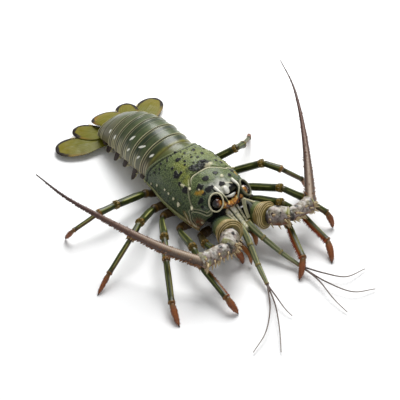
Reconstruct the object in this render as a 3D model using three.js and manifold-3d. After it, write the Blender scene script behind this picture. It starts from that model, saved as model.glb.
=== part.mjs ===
// Spiny lobster, whole and raw, lying on its legs on a level top.
//
// Frame: millimetres, +X towards the head, +Y towards the animal's left, +Z up.
// The shapes are first laid out round a point on the floor below the back of
// the head shield, and the whole animal is then centred in X and Y.
//
// The animal is an assembly of hard pieces: a head shield over the thorax, six
// tail rings, a fan of five plates, two eyes, two heavy antennae, two pairs of
// thin feelers, mouth palps and ten walking legs of three pieces each.
import * as THREE from 'three';
import Module from 'manifold-3d';

const wasm = await Module();
wasm.setup();

// ---------------------------------------------------------------- dimensions
const GAP = 0.35;                    // joint gap between neighbouring pieces

// Head shield: stations along X with half width, crown height, height of the
// widest point and height of the lower edge.
const SHIELD_X = [-30, -6, 12, 40, 65, 85, 98, 110];
const SHIELD_HALF = [42, 42.5, 44, 44.5, 42.5, 38, 33.5, 29];
const SHIELD_TOP = [71, 74.5, 79, 81, 79, 72.5, 63, 55];
const SHIELD_MID = [36, 36.5, 37, 37, 38, 38, 38, 38];
const SHIELD_LOW = [27, 25, 21, 19, 18, 17, 18, 20];
const SHIELD_ARC = 116;              // degrees from the crown to the lower edge
const SHIELD_REAR = -4;              // crown of the rear margin
const SHIELD_SWEEP = 22;             // how far the rear margin runs back at the sides
const SHIELD_FRONT = 92;             // crown of the front margin
const SHIELD_WALL = 2.2;
const SHIELD_LIP = 5.5;              // outward flare of the lower edge
const ORBIT = 34;                    // degrees from the crown to the middle of an eye notch
const ORBIT_DEPTH = 8;

// Tail rings: stations of the whole tail and the X of each ring's two edges.
const TAIL_X = [8, -2, -25, -50, -75, -100, -125, -150];
const TAIL_HALF = [36, 36.7, 37.8, 39.3, 38.6, 36.1, 33.3, 28.8];
const TAIL_TOP = [69, 70, 73.5, 75, 73, 66.5, 56.2, 38.5];
const TAIL_MID = [35, 35, 35, 33, 31, 27, 22, 17];
const TAIL_AXIS = [0, -0.3, -0.3, 0.7, 2, 2.6, 2.2, 1.2];
const RING_EDGES = [1, -34.5, -57.5, -81.5, -98, -115, -147];   // at the crown
const RING_SWEEP = 6;                // how far a ring's edges run back at the sides
const RING_STEP = 1.6;               // a ring's rear edge stands over the next one
const RING_BELLY = 9;                // height of the soft underside over the floor
// Side spikes of the rings: X and height of the tip, and how far it stands out.
const SPIKES = [[1, -41, 21, 0.8], [2, -59.4, 6, 3], [3, -82.2, 12.5, 2.3], [4, -106.2, 6.8, 3.4], [5, -128, 6.5, 2.6], [6, -141, 14.5, 0]];

// Eyes, antennae, feelers: half the animal, mirrored for the other side.
const EYE = [94.3, 20.4, 60];
const EYE_R = 7.6;
const EYE_RIM = { at: [96, 23.1, 64.6], facing: [0.6, 0.5, 0.62], wide: 8.7, high: 11.4, bead: 0.95, front: 1.5, back: -6.5 };
const HORN = [[95, 13, 69.6], [100.9, 7.4, 58.3]];   // past its root on the shield
const STALK = {
  right: [[103, -23, 35], [132.5, -29.5, 42.6], [151, -49, 45.5], [148.5, -86, 42.5]],
  left: [[103, 23, 32.5], [132.5, 29.5, 40], [151, 49, 43.2], [148.3, 85.5, 41]],
};
const STALK_R = [[11.5, 14.2, 17.5], [11.0, 12.2, 10.6], [9.0, 9.0, 10.4]];
const WHIP = {
  right: [[148.5, -87, 42.5], [112.5, -110.5, 48.3], [70, -133, 57.6], [39.5, -157.5, 76.8], [7, -180, 95], [-34, -194, 110]],
  left: [[148.3, 86.5, 41], [107.2, 119.2, 50.8], [67, 147, 69.8], [38, 164, 85.8], [2.8, 181.6, 99.8], [-37, 195, 110]],
};
const WHIP_R = { right: [6.2, 5.6, 4.1, 2.9, 1.6, 0.7], left: [6.3, 5.7, 3.6, 2.3, 1.1, 0.6] };
const FEELER_STALK = [[122, 6.0, 35], [136, 7.5, 30], [171, 18, 15], [198, 26, 7.5]];
const FEELER_STALK_R = [4.6, 4.2, 3.4, 2.5];
const FEELER_R = 0.68;
const FEELERS = {
  right: [[[233, -52, 9], [256, -79, 7], [267, -106, 3]], [[231, -42, 9], [260, -61, 7], [286, -81, 3]], [[221, -32, 9], [241, -35, 6], [252, -34, 3]]],
  left: [[[228, 40, 9], [246, 57, 7], [248, 88, 3]], [[238, 31, 9], [269, 46, 7], [280, 74, 3]], [[231, 26, 9], [264, 21, 6], [287, 21, 3]]],
};

// Walking legs, front to back: hip, knee, wrist, ankle and tip of each.
const LEGS = {
  right_1: [[88, -40, 13], [113, -52.5, 24.5], [127, -50.8, 25.2], [143, -30, 25], [149, -22, 0]],
  right_2: [[62, -52, 14], [117, -75, 34.7], [142, -80, 24], [193, -84.5, 17], [210, -80, 0]],
  right_3: [[31, -54, 14], [82.5, -92, 35.5], [109.5, -109.5, 28.7], [159, -139, 14], [184, -147, 0]],
  right_4: [[13, -56, 14], [44, -101, 37], [57, -125, 32], [74, -169, 14], [84, -193, 0]],
  right_5: [[-14, -50, 18], [-8, -101, 30], [-9, -126, 29], [-11, -163, 19], [-22, -169, 0]],
  left_1: [[88, 40, 13], [124, 53, 26], [150, 50, 24], [199, 30, 18], [212, 13, 0]],
  left_2: [[68, 50, 12.5], [130, 54, 46.6], [145, 75, 26.5], [193, 76.5, 15.5], [215, 65, 0]],
  left_3: [[40, 50, 12.5], [113.5, 68, 52], [131, 90, 36], [158, 108, 20], [169, 110, 0]],
  left_4: [[12, 50, 13.5], [63, 81, 53], [84, 94, 50], [95, 122, 26], [89, 136, 0]],
  left_5: [[-14, 50, 17], [7, 83, 41], [-3, 104, 31], [-23, 132, 16], [-45, 151, 0]],
};
const LEG_R = { coxa: 6.6, hip: 5.4, knee: 5.0, wrist: 4.5, tip: 0.9 };
const SHIN_R = [4.0, 3.9, 3.8, 3.1, 2.7];        // by pair, front to back
const CLAW_R = [4.0, 4.2, 3.9, 3.0, 2.8];
const PALPS = {
  right: [[104, -12, 16], [128, -14, 17], [152, -15, 15], [158, -16, 3]],
  left: [[104, 12, 16], [118, 13, 17], [131, 12, 14], [136, 10.5, 3]],
};
const PALP_R = [5.2, 4.4, 3.4, 1.4];

// Fan: root, tip, half width near the tip, height of the root and tip.
const FAN = {
  telson: { root: [-147, 2, 26], tip: [-197, 4, 11.5], half: 22, neck: 14, thick: 2.6 },
  fan_inner_right: { root: [-144, -11, 13.5], tip: [-193, -43.5, 9.2], half: 16.5, neck: 7, thick: 2.2 },
  fan_inner_left: { root: [-144, 15, 13.5], tip: [-198, 51, 9.2], half: 17, neck: 7, thick: 2.2 },
  fan_outer_right: { root: [-141, -18, 10], tip: [-173.5, -85.5, 6], half: 20.3, neck: 8, thick: 2.2 },
  fan_outer_left: { root: [-143, 22, 10], tip: [-185.5, 95, 6], half: 19.5, neck: 8, thick: 2.2 },
};

// ------------------------------------------------------------------- looks
const paint = (hex, roughness, metalness = 0) => () => new THREE.MeshStandardMaterial({ color: hex, roughness, metalness });
const SHELL = paint(0x5f7350, 0.42);
const DARK_SHELL = paint(0x43533a, 0.35);
const BELLY = paint(0x8a7f5e, 0.6);
const BLADE = paint(0x8b8a3c, 0.45);
const LILAC = paint(0x8d8580, 0.5);
const BRONZE = paint(0x6f4c3c, 0.5);
const LEG = paint(0x4d5a2b, 0.4);
const CLAW = paint(0x9a4f22, 0.5);
const EYEBALL = paint(0x1a0f0c, 0.08);
const CREAM = paint(0xa7ac86, 0.5);

// ------------------------------------------------------------------- numbers
// Smooth curve through a table of stations, by cubic pieces whose slopes are
// the chords over the neighbouring stations.
function along(xs, ys, x) {
  const n = xs.length, dir = xs[n - 1] > xs[0] ? 1 : -1;
  let i = 0;
  while (i < n - 2 && dir * (x - xs[i + 1]) > 0) i += 1;
  const h = xs[i + 1] - xs[i];
  const t = Math.min(1, Math.max(0, (x - xs[i]) / h));
  const slope = (k) => k <= 0 ? (ys[1] - ys[0]) / (xs[1] - xs[0])
    : k >= n - 1 ? (ys[n - 1] - ys[n - 2]) / (xs[n - 1] - xs[n - 2])
      : (ys[k + 1] - ys[k - 1]) / (xs[k + 1] - xs[k - 1]);
  const a = t * t * (3 - 2 * t);
  return ys[i] * (1 - a) + ys[i + 1] * a + h * (slope(i) * t * (1 - t) ** 2 - slope(i + 1) * t * t * (1 - t));
}
const rad = (d) => d * Math.PI / 180;
const clamp = (v, a, b) => Math.min(b, Math.max(a, v));
const smooth = (a, b, v) => { const t = clamp((v - a) / (b - a), 0, 1); return t * t * (3 - 2 * t); };
const vec = (p) => new THREE.Vector3(p[0], p[1], p[2]);
const steps = (n) => Array.from({ length: n + 1 }, (_, i) => i / n);

// ------------------------------------------------------------------- solids
// A solid from a flat list of points and triangles, turned inside out where
// its volume comes out negative.
function solid(points, tris) {
  let v = 0;
  for (const [a, b, c] of tris) v += vec(points[a]).dot(vec(points[b]).cross(vec(points[c])));
  const faces = v < 0 ? tris.map(([a, b, c]) => [a, c, b]) : tris;
  const m = new wasm.Mesh({
    numProp: 3,
    vertProperties: new Float32Array(points.flat()),
    triVerts: new Uint32Array(faces.flat()),
  });
  return new wasm.Manifold(m);
}

// Closed rings of equal count joined in order, with a fan over each end.
function loft(rings) {
  const n = rings[0].length, pts = rings.flat(), tris = [];
  for (let i = 0; i < rings.length - 1; i += 1) {
    for (let j = 0; j < n; j += 1) {
      const a = i * n + j, b = i * n + (j + 1) % n;
      tris.push([a, b, b + n], [a, b + n, a + n]);
    }
  }
  [0, rings.length - 1].forEach((i) => {
    const c = [0, 1, 2].map((k) => rings[i].reduce((s, p) => s + p[k], 0) / n);
    pts.push(c);
    for (let j = 0; j < n; j += 1) {
      const a = i * n + j, b = i * n + (j + 1) % n;
      tris.push(i ? [a, b, pts.length - 1] : [b, a, pts.length - 1]);
    }
  });
  return solid(pts, tris);
}

// A bent wall: two open grids of equal size, outer and inner, joined all round.
function wall(outer, inner) {
  const nu = outer.length, nv = outer[0].length, N = nu * nv, tris = [];
  const pts = outer.flat().concat(inner.flat());
  const quad = (a, b, c, d) => tris.push([a, b, c], [a, c, d]);
  for (let i = 0; i < nu - 1; i += 1) {
    for (let j = 0; j < nv - 1; j += 1) {
      const a = i * nv + j, b = a + 1, c = b + nv, d = a + nv;
      quad(a, b, c, d);
      quad(N + a, N + d, N + c, N + b);
    }
  }
  for (let i = 0; i < nu - 1; i += 1) {
    const a = i * nv, d = a + nv, e = a + nv - 1, h = e + nv;
    quad(a, d, N + d, N + a);
    quad(e, N + e, N + h, h);
  }
  for (let j = 0; j < nv - 1; j += 1) {
    const a = j, b = j + 1, c = (nu - 1) * nv + j, d = c + 1;
    quad(a, N + a, N + b, b);
    quad(c, d, N + d, N + c);
  }
  return solid(pts, tris);
}

// A limb: oval cross sections along a smooth path. Each station gives the
// place along the path (0 to 1), the half width and the half height.
function limb(path, stations, sides, grow = 0) {
  const curve = new THREE.CatmullRomCurve3(path.map(vec), false, 'centripetal');
  const ahead = curve.getTangentAt(0.5);
  const ref = Math.abs(ahead.z) < 0.8 ? new THREE.Vector3(0, 0, 1) : new THREE.Vector3(1, 0, 0);
  const total = curve.getLength();
  const rings = stations.map(([s, w, h], k) => {
    const edge = k === 0 ? -1 : k === stations.length - 1 ? 1 : 0;
    const c = curve.getPointAt(clamp(s, 0, 1));
    const t = curve.getTangentAt(clamp(s, 0, 1));
    c.addScaledVector(t, edge * grow + (s - clamp(s, 0, 1)) * total);
    const side = new THREE.Vector3().crossVectors(t, ref).normalize();
    const up = new THREE.Vector3().crossVectors(side, t).normalize();
    return Array.from({ length: sides }, (_, j) => {
      const f = 2 * Math.PI * (j + 0.5) / sides;
      return c.clone().addScaledVector(side, (w + grow) * Math.cos(f)).addScaledVector(up, (h + grow) * Math.sin(f)).toArray();
    });
  });
  return loft(rings);
}

// A curved thorn: base, tip and base radius; the base sits inside its piece.
function thorn(base, tip, r, sides = 6, lift = 0) {
  const b = vec(base), t = vec(tip);
  const m = b.clone().lerp(t, 0.5).add(new THREE.Vector3(0, 0, lift));
  return limb([b.toArray(), m.toArray(), t.toArray()], sides > 5 ? [[0, r, r], [0.5, r * 0.66, r * 0.66], [1, r * 0.14, r * 0.14]] : [[0, r, r], [1, r * 0.14, r * 0.14]], sides);
}

// A ball of flat facets.
function ball(c, r, n = 12) {
  const rings = [];
  for (let i = 1; i < n / 2; i += 1) {
    const f = Math.PI * i / (n / 2);
    rings.push(Array.from({ length: n }, (_, j) => {
      const g = 2 * Math.PI * j / n;
      return [c[0] + r * Math.sin(f) * Math.cos(g), c[1] + r * Math.sin(f) * Math.sin(g), c[2] + r * Math.cos(f)];
    }));
  }
  const pts = rings.flat(), tris = [], last = rings.length - 1;
  for (let i = 0; i < last; i += 1) {
    for (let j = 0; j < n; j += 1) {
      const a = i * n + j, b = i * n + (j + 1) % n;
      tris.push([a, b + n, b], [a, a + n, b + n]);
    }
  }
  pts.push([c[0], c[1], c[2] + r], [c[0], c[1], c[2] - r]);
  for (let j = 0; j < n; j += 1) {
    tris.push([pts.length - 2, j, (j + 1) % n]);
    tris.push([pts.length - 1, last * n + (j + 1) % n, last * n + j]);
  }
  return solid(pts, tris);
}

// The largest of the bodies left by a cut.
function whole(m) {
  const parts = m.decompose();
  return parts.reduce((a, b) => (b.volume() > a.volume() ? b : a));
}
const join = (a, list) => whole(list.reduce((s, p) => s.add(p), a));
const cut = (a, list) => whole(list.reduce((s, p) => s.subtract(p), a));

// ------------------------------------------------------------------- pieces
const pieces = [];
const piece = (name, body, look) => pieces.push([name, body, look()]);

// Head shield, a bent wall; s runs from the rear to the front margin and phi
// from the lower right edge over the crown to the lower left edge.
function shieldPoint(s, phi, inward) {
  const f = rad(phi), side = Math.sin(Math.min(Math.abs(f), Math.PI / 2));
  const rear = SHIELD_REAR - SHIELD_SWEEP * side * side;
  const notch = ORBIT_DEPTH * Math.exp(-(((Math.abs(phi) - ORBIT) / 11) ** 2));
  const cheek = 5 * Math.exp(-(((Math.abs(phi) - 66) / 14) ** 2)) - 8 * smooth(85, 116, Math.abs(phi));
  const front = SHIELD_FRONT - notch + cheek;
  const x = rear + (front - rear) * s;
  const w = along(SHIELD_X, SHIELD_HALF, x), t = along(SHIELD_X, SHIELD_TOP, x);
  const m = along(SHIELD_X, SHIELD_MID, x), l = along(SHIELD_X, SHIELD_LOW, x);
  const lip = SHIELD_LIP * smooth(94, SHIELD_ARC, Math.abs(phi));
  const drop = -Math.cos(rad(SHIELD_ARC));
  const y = Math.sign(phi) * ((w - inward) * Math.abs(Math.sin(f)) + lip);
  const z = Math.cos(f) > 0 ? m + (t - inward - m) * Math.cos(f) : m + (m - l) * Math.cos(f) / drop;
  return [x, y, z];
}
function shieldBody(grow) {
  const arc = SHIELD_ARC + (grow ? 1 : 0);
  const phis = steps(22).map((u) => -arc + 2 * arc * u);
  const end = grow / 100;
  const grid = (inward) => steps(9).map((s) => phis.map((p) => shieldPoint(-end + s * (1 + 2 * end), p, inward)));
  return wall(grid(-grow), grid(SHIELD_WALL + grow));
}
const mirror = (p, side) => [p[0], side * p[1], p[2]];
const onShield = (s, phi, out = 0) => shieldPoint(s, phi, -out);

// The thorax inside the shield, with the breastplate below.
function thoraxBody(grow = 0) {
  const rings = steps(6).map((u) => {
    const x = 3 - grow + u * (84 + 2 * grow);
    const w = along(SHIELD_X, SHIELD_HALF, x) - SHIELD_WALL - 1.2;
    const t = along(SHIELD_X, SHIELD_TOP, x) - SHIELD_WALL - 1.2;
    const m = along(SHIELD_X, SHIELD_MID, x);
    const low = 9 + 5 * smooth(60, 90, x);
    const shrink = 1 - 0.12 * smooth(0.75, 1, u);
    return Array.from({ length: 18 }, (_, j) => {
      const f = 2 * Math.PI * j / 18;
      const c = Math.cos(f), sn = Math.sin(f);
      return [x, (w + grow) * shrink * Math.sign(sn) * Math.abs(sn) ** (c < 0 ? 1.25 : 1), c > 0 ? m + (t + grow - m) * c * shrink : m + (m - low + grow) * c];
    });
  });
  return loft(rings);
}

// Tail ring section at x, raised by `over`, from the belly over the back.
function tailRing(x, over, grow = 0) {
  const w = along(TAIL_X, TAIL_HALF, x) + over + grow, t = along(TAIL_X, TAIL_TOP, x) + over + grow;
  const m = along(TAIL_X, TAIL_MID, x), y = along(TAIL_X, TAIL_AXIS, x);
  const low = Math.min(RING_BELLY - grow, m - 6);
  return Array.from({ length: 22 }, (_, j) => {
    const f = 2 * Math.PI * (j + 0.5) / 22, c = Math.cos(f), s = Math.sin(f);
    return [x - RING_SWEEP * (c < 0 ? 1 : s * s), y + w * (c < 0 ? Math.sign(s) * Math.abs(s) ** 0.8 : s) * (c < 0 ? 1 - 0.14 * c * c : 1),
      c > 0 ? m + (t - m) * c : m + (m - low) * c * 0.8];
  });
}

const EYES = { right: mirror(EYE, -1), left: EYE };
const eyeBall = (c, grow) => ball(c, EYE_R + grow, 12);
function eyeBody(side, grow = 0) {
  const c = EYES[side], d = side === 'left' ? 1 : -1;
  return eyeBall(c, grow).add(limb([[99, d, 53.5], [98.5, d * 8, 55], c], [[0, 4.0, 3.6], [0.5, 4.4, 4.0], [1, 5.2, 5.2]], 8, grow));
}

// Raised oval rim round an eye, facing outwards and forwards: a bead on a skirt that runs back into the shield.
function orbitRim(side, grow = 0) {
  const d = side === 'left' ? 1 : -1, c = vec(mirror(EYE_RIM.at, d)), n = vec(mirror(EYE_RIM.facing, d)).normalize();
  const u = new THREE.Vector3().crossVectors(n, new THREE.Vector3(0, 0, 1)).normalize();
  const v = new THREE.Vector3().crossVectors(n, u);
  const b = EYE_RIM.bead + grow, front = EYE_RIM.front + grow, back = EYE_RIM.back - grow;
  const section = [[b, front], [-b, front], [-b, back], [b, back]];
  const N = 16, M = section.length, pts = [], tris = [];
  for (let i = 0; i < N; i += 1) {
    for (let j = 0; j < M; j += 1) {
      const a = 2 * Math.PI * i / N, [out, rise] = section[j];
      pts.push(c.clone().addScaledVector(u, (EYE_RIM.wide + out) * Math.cos(a)).addScaledVector(v, (EYE_RIM.high + out) * Math.sin(a))
        .addScaledVector(n, rise).toArray());
      const i2 = (i + 1) % N, j2 = (j + 1) % M;
      tris.push([i * M + j, i2 * M + j, i2 * M + j2], [i * M + j, i2 * M + j2, i * M + j2]);
    }
  }
  return solid(pts, tris);
}

// Thorns on the shield: place (s, phi), length and base radius.
const SHIELD_THORNS = [
  ...[0.16, 0.38, 0.58].map((s, i) => [s, 90 - 3 * i, 4.6 + 0.4 * i, 1.9]),
  [0.8, 76, 5.5, 2.2], [0.68, 50, 4.6, 2.2],
];
function shield() {
  const extra = [orbitRim('left'), orbitRim('right')];
  for (const side of [-1, 1]) {
    extra.push(limb([onShield(0.9, side * 21, -1.5), ...HORN.map((p) => mirror(p, side))], [[0, 2.6, 4.2], [0.5, 1.8, 3.4], [1, 0.5, 0.6]], 6));
    for (const [s, phi, len, r] of SHIELD_THORNS) {
      const b = vec(onShield(s, side * phi, -1)), o = vec(onShield(s, side * phi, len));
      o.x += len * 0.8;
      extra.push(thorn(b.toArray(), o.toArray(), r, 5));
    }
  }
  return cut(join(shieldBody(0), extra), [eyeBody('left', GAP), eyeBody('right', GAP)]);
}

// Antenna stalk pieces; k = 0, 1, 2 from the head outwards.
function stalk(k, side, grow = 0) {
  const a = vec(STALK[side][k]), b = vec(STALK[side][k + 1]);
  const m = a.clone().lerp(b, 0.5);
  const r = STALK_R[k];
  const st = [[-0.12, r[0] * 0.45, r[0] * 0.45], [-0.02, r[0] * 0.86, r[0] * 0.86], [0.25, r[1] * 0.98, r[1] * 0.98],
    [0.6, r[1], r[1]], [0.95, r[2], r[2]], [1.04, r[2] * 0.72, r[2] * 0.72]];
  return limb([a.toArray(), m.toArray(), b.toArray()], st, 10, grow);
}
function flagellum(side, grow = 0) {
  const st = steps(13).map((s) => { const r = along([0, 0.2, 0.45, 0.62, 0.82, 1], WHIP_R[side], s); return [s, r, r]; });
  st.unshift([-0.012, 4.4, 4.4]);
  return limb(WHIP[side], st, 7, grow);
}

// Feelers: a two-branched stalk end with three hairs.
function feelerStalk(side, grow = 0) {
  const d = side === 'left' ? 1 : -1;
  const st = steps(9).map((s, i) => {
    const r = along([0, 0.25, 0.7, 1], FEELER_STALK_R, s) * (i % 3 === 0 ? 1.14 : 0.94);
    return [s, r, r];
  });
  return limb(FEELER_STALK.map((p) => mirror(p, d)), st, 8, grow);
}
function feelerHairs(side) {
  const d = side === 'left' ? 1 : -1, end = vec(mirror(FEELER_STALK[3], d));
  const from = vec(mirror(FEELER_STALK[2], d));
  const ahead = end.clone().sub(from).normalize();
  const knot = end.clone().addScaledVector(ahead, 1.6);
  const hairs = FEELERS[side].map((way) => limb([knot.toArray(), ...way],
    steps(6).map((s) => { const r = FEELER_R * (1.6 - 0.8 * s); return [s, r, r]; }), 4));
  return cut(join(ball(knot.toArray(), 1.9, 8), hairs), [feelerStalk(side, GAP)]);
}

// The small plate between the antennae, with lengthwise ribs.
function facePlate(grow = 0) {
  const rings = steps(4).map((u) => {
    const x = 99 + 30 * u, w = 12.5 - 4.0 * u + grow, t = 49 - 13.5 * u + grow, low = 27 - 3 * u - grow;
    return Array.from({ length: 14 }, (_, j) => {
      const f = 2 * Math.PI * (j + 0.5) / 14, c = Math.cos(f), s = Math.sin(f);
      const rib = 1 + 0.07 * Math.cos(5 * Math.PI * s);
      return [x + grow * (u < 0.5 ? -1 : 1), w * Math.sign(s) * Math.abs(s) ** 0.8, (t + low) / 2 + (t - low) / 2 * Math.sign(c) * Math.abs(c) ** 0.75 * (c > 0 ? rib : 1)];
    });
  });
  return loft(rings);
}

// Legs: upper limb (hip to knee), shank (knee, wrist, ankle) and claw.
const pair = (name) => Number(name.slice(-1)) - 1;
function legUpper(name) {
  const [hip, knee] = LEGS[name], d = Math.sign(hip[1]);
  const root = [hip[0] - (name.endsWith('1') ? 2 : 0), d * 24, 13.5];
  const under = [hip[0], d * 39, 13];
  const R = LEG_R, path = [root, under, hip, knee];
  const st = [[0, 5.6, 5.2], [0.16, R.coxa, 5.6], [0.27, 5.6, 4.6], [0.36, R.hip, R.hip], [0.41, 4.4, 4.4],
    [0.55, R.knee, R.knee * 1.08], [0.86, R.knee, R.knee], [0.93, R.knee * 1.18, R.knee * 1.2], [1.0, R.knee * 1.1, R.knee * 1.1]];
  return limb(path, st, 7);
}
function legShank(name, grow = 0) {
  const [, knee, wrist, ankle] = LEGS[name], R = LEG_R, shin = SHIN_R[pair(name)];
  const k = vec(knee), w = vec(wrist), a = vec(ankle);
  const l1 = w.distanceTo(k), l2 = a.distanceTo(w), s = l1 / (l1 + l2);
  const st = [[0, R.knee * 0.5, R.knee * 0.5], [0.05, R.knee * 0.8, R.knee * 0.8], [s * 0.75, R.wrist, R.wrist],
    [s * 0.95, R.wrist * 1.14, R.wrist * 1.14], [s * 1.06, shin, shin],
    [s + (1 - s) * 0.4, shin * 1.06, shin * 1.02], [0.93, shin, shin], [1, shin * 1.18, shin * 1.14]];
  return limb([knee, k.clone().lerp(w, 0.6).toArray(), wrist, w.clone().lerp(a, 0.45).toArray(), ankle], st, 7, grow);
}
function legClaw(name, grow = 0) {
  const ankle = vec(LEGS[name][3]), tip = vec(LEGS[name][4]);
  const before = vec(LEGS[name][2]), shin = SHIN_R[pair(name)], claw = CLAW_R[pair(name)];
  const bend = ankle.clone().lerp(tip, 0.5).addScaledVector(ankle.clone().sub(before).normalize(), 2.2);
  const st = [[-0.04, shin * 0.6, shin * 0.6], [0.06, shin * 0.9, shin * 0.9], [0.35, claw, claw],
    [0.7, claw * 0.78, claw * 0.78], [1.05, LEG_R.tip, LEG_R.tip]];
  return limb([ankle.toArray(), bend.toArray(), tip.toArray()], st, 6, grow);
}
function palp(side, grow = 0) {
  const st = steps(6).map((s) => { const r = along([0, 0.4, 0.8, 1], PALP_R, s); return [s, r * 0.85, r]; });
  return limb(PALPS[side], st, 6, grow);
}

// One plate of the fan: a thin leaf, widest near its rounded end, a little
// arched across and drawn in at the root.
function leaf(name, grow = 0) {
  const { root, tip, half, neck, thick } = FAN[name];
  const a = vec(root), b = vec(tip), len = b.distanceTo(a);
  const t = b.clone().sub(a).normalize();
  const side = new THREE.Vector3().crossVectors(new THREE.Vector3(0, 0, 1), t).normalize();
  const up = new THREE.Vector3().crossVectors(t, side).normalize();
  const rings = [];
  for (const u of [0, 0.2, 0.42, 0.6, 0.76, 0.89, 0.97, 1.0]) {
    const body = neck + (half - neck) * smooth(0, 0.55, u);
    const end = Math.sqrt(Math.max(0.02, 1 - (Math.max(0, u - 0.6) / 0.405) ** 2.6));
    const w = body * end + grow, h = thick / 2 * (1 - 0.45 * u) + grow;
    const c = a.clone().addScaledVector(t, len * u + (u === 0 ? -grow : u === 1 ? grow : 0));
    rings.push(Array.from({ length: 10 }, (_, j) => {
      const f = 2 * Math.PI * j / 10, q = Math.cos(f), arch = 0.06 * w * (1 - q * q);
      return c.clone().addScaledVector(side, w * q).addScaledVector(up, h * Math.sin(f) + arch).toArray();
    }));
  }
  return loft(rings);
}

// ------------------------------------------------------------------ assembly
const SIDES = ['right', 'left'];
const grownShield = shieldBody(GAP);
const grownThorax = thoraxBody(GAP);

const thorax = thoraxBody(0);
piece('head_shield', shield(), SHELL);
const grownRims = SIDES.map((side) => orbitRim(side, GAP));
piece('thorax', cut(thorax, [grownShield, ...grownRims, eyeBody('left', GAP), eyeBody('right', GAP), stalk(0, 'left', GAP), stalk(0, 'right', GAP), facePlate(GAP)]), BELLY);
for (const side of SIDES) piece(`eye_${side}`, eyeBody(side), EYEBALL);
piece('face_plate', cut(facePlate(), [stalk(0, 'left', GAP), stalk(0, 'right', GAP), eyeBody('left', GAP), eyeBody('right', GAP),
  feelerStalk('left', GAP), feelerStalk('right', GAP), grownShield, ...grownRims]), CREAM);

// Antennae.
for (const side of SIDES) {
  const d = side === 'left' ? 1 : -1;
  piece(`antenna_${side}_base`, cut(stalk(0, side), [grownShield, ...grownRims, stalk(1, side, GAP), eyeBody(side, GAP)]), SHELL);
  const thorns1 = [0.35, 0.7].map((u, i) => {
    const c = vec(STALK[side][1]).lerp(vec(STALK[side][2]), u);
    return thorn(c.clone().add(new THREE.Vector3(4, -4 * d, 6)).toArray(), c.clone().add(new THREE.Vector3(12, -8 * d, 12 - 3 * i)).toArray(), 2.2, 5);
  });
  piece(`antenna_${side}_middle`, cut(join(stalk(1, side), thorns1), [stalk(2, side, GAP)]), LILAC);
  const thorns2 = [0.3, 0.55, 0.8].map((u, i) => {
    const c = vec(STALK[side][2]).lerp(vec(STALK[side][3]), u);
    return thorn(c.clone().add(new THREE.Vector3(6, 0, 2 - 2 * i)).toArray(), c.clone().add(new THREE.Vector3(14, 3 * d, 6 - 5 * i)).toArray(), 2.0, 5);
  });
  piece(`antenna_${side}_end`, cut(join(stalk(2, side), thorns2), [flagellum(side, GAP)]), LILAC);
  piece(`antenna_${side}_whip`, flagellum(side), BRONZE);
  piece(`feeler_${side}_stalk`, feelerStalk(side), DARK_SHELL);
  piece(`feeler_${side}_hairs`, feelerHairs(side), BRONZE);
  piece(`palp_${side}`, cut(palp(side), [facePlate(GAP), grownThorax, stalk(0, side, GAP), feelerStalk(side, GAP)]), CLAW);
}

// Tail rings; each one's rear edge stands over the front edge of the next.
function tailBody(k, grow = 0) {
  const x0 = RING_EDGES[k - 1] - GAP / 2 + grow, x1 = RING_EDGES[k] + GAP / 2 - grow;
  return loft([0, 0.35, 0.7, 1].map((u) => tailRing(x0 + (x1 - x0) * u, RING_STEP * u, grow)));
}
// Side spikes of ring k, leaning back over the flank of the next ring.
function spikes(k, grow = 0) {
  return SPIKES.filter(([ring]) => ring === k).flatMap(([, x, z, out]) => [-1, 1].map((d) => {
    const at = x + RING_SWEEP;
    const y = (inward) => along(TAIL_X, TAIL_AXIS, at) + d * (along(TAIL_X, TAIL_HALF, at) - inward);
    const top = [x + 6, y(3.6), 33 * along(TAIL_X, TAIL_MID, x) / 35];
    return limb([top, [x + 4.6, y(0.8), (top[2] + z) / 2], [x, y(1.4 - out), z]],
      [[0, 2.4, 4.7], [0.5, 2.1, 4.2], [1, 0.5, 0.7]], 6, grow);
  }));
}
for (let k = 1; k <= 6; k += 1) {
  piece(`tail_ring_${k}`, cut(join(tailBody(k), spikes(k)), k < 3 ? [grownShield, ...spikes(k - 1, GAP)] : spikes(k - 1, GAP)), k < 5 ? DARK_SHELL : SHELL);
}

// Fan.
for (const name of Object.keys(FAN)) piece(name, cut(leaf(name), [tailBody(6, GAP)]), BLADE);

// Legs.
for (const name of Object.keys(LEGS)) {
  piece(`leg_${name}_upper`, cut(legUpper(name), [grownThorax, grownShield, legShank(name, GAP)]), LEG);
  piece(`leg_${name}_shank`, cut(legShank(name), [legClaw(name, GAP)]), LEG);
  piece(`leg_${name}_claw`, whole(legClaw(name).trimByPlane([0, 0, 1], 0)), CLAW);
}

// Every piece becomes a mesh of its own in one group.
const lobster = new THREE.Group();
lobster.name = 'spiny_lobster';
for (const [name, body, material] of pieces) {
  const { vertProperties, triVerts, numProp } = body.getMesh();
  const pos = new Float32Array(vertProperties.length / numProp * 3);
  for (let i = 0; i < pos.length / 3; i += 1) for (let k = 0; k < 3; k += 1) pos[3 * i + k] = vertProperties[numProp * i + k];
  const g = new THREE.BufferGeometry();
  g.setAttribute('position', new THREE.BufferAttribute(pos, 3));
  g.setIndex(new THREE.BufferAttribute(new Uint32Array(triVerts), 1));
  g.computeVertexNormals();
  const mesh = new THREE.Mesh(g, material);
  mesh.name = name;
  lobster.add(mesh);
}

// Centre the animal on the floor.
const box = new THREE.Box3().setFromObject(lobster);
lobster.position.set(-(box.min.x + box.max.x) / 2, -(box.min.y + box.max.y) / 2, -box.min.z);
export const centre = lobster.position.toArray();
const model = new THREE.Group();
model.add(lobster);
export default model;
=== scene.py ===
import itertools

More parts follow.
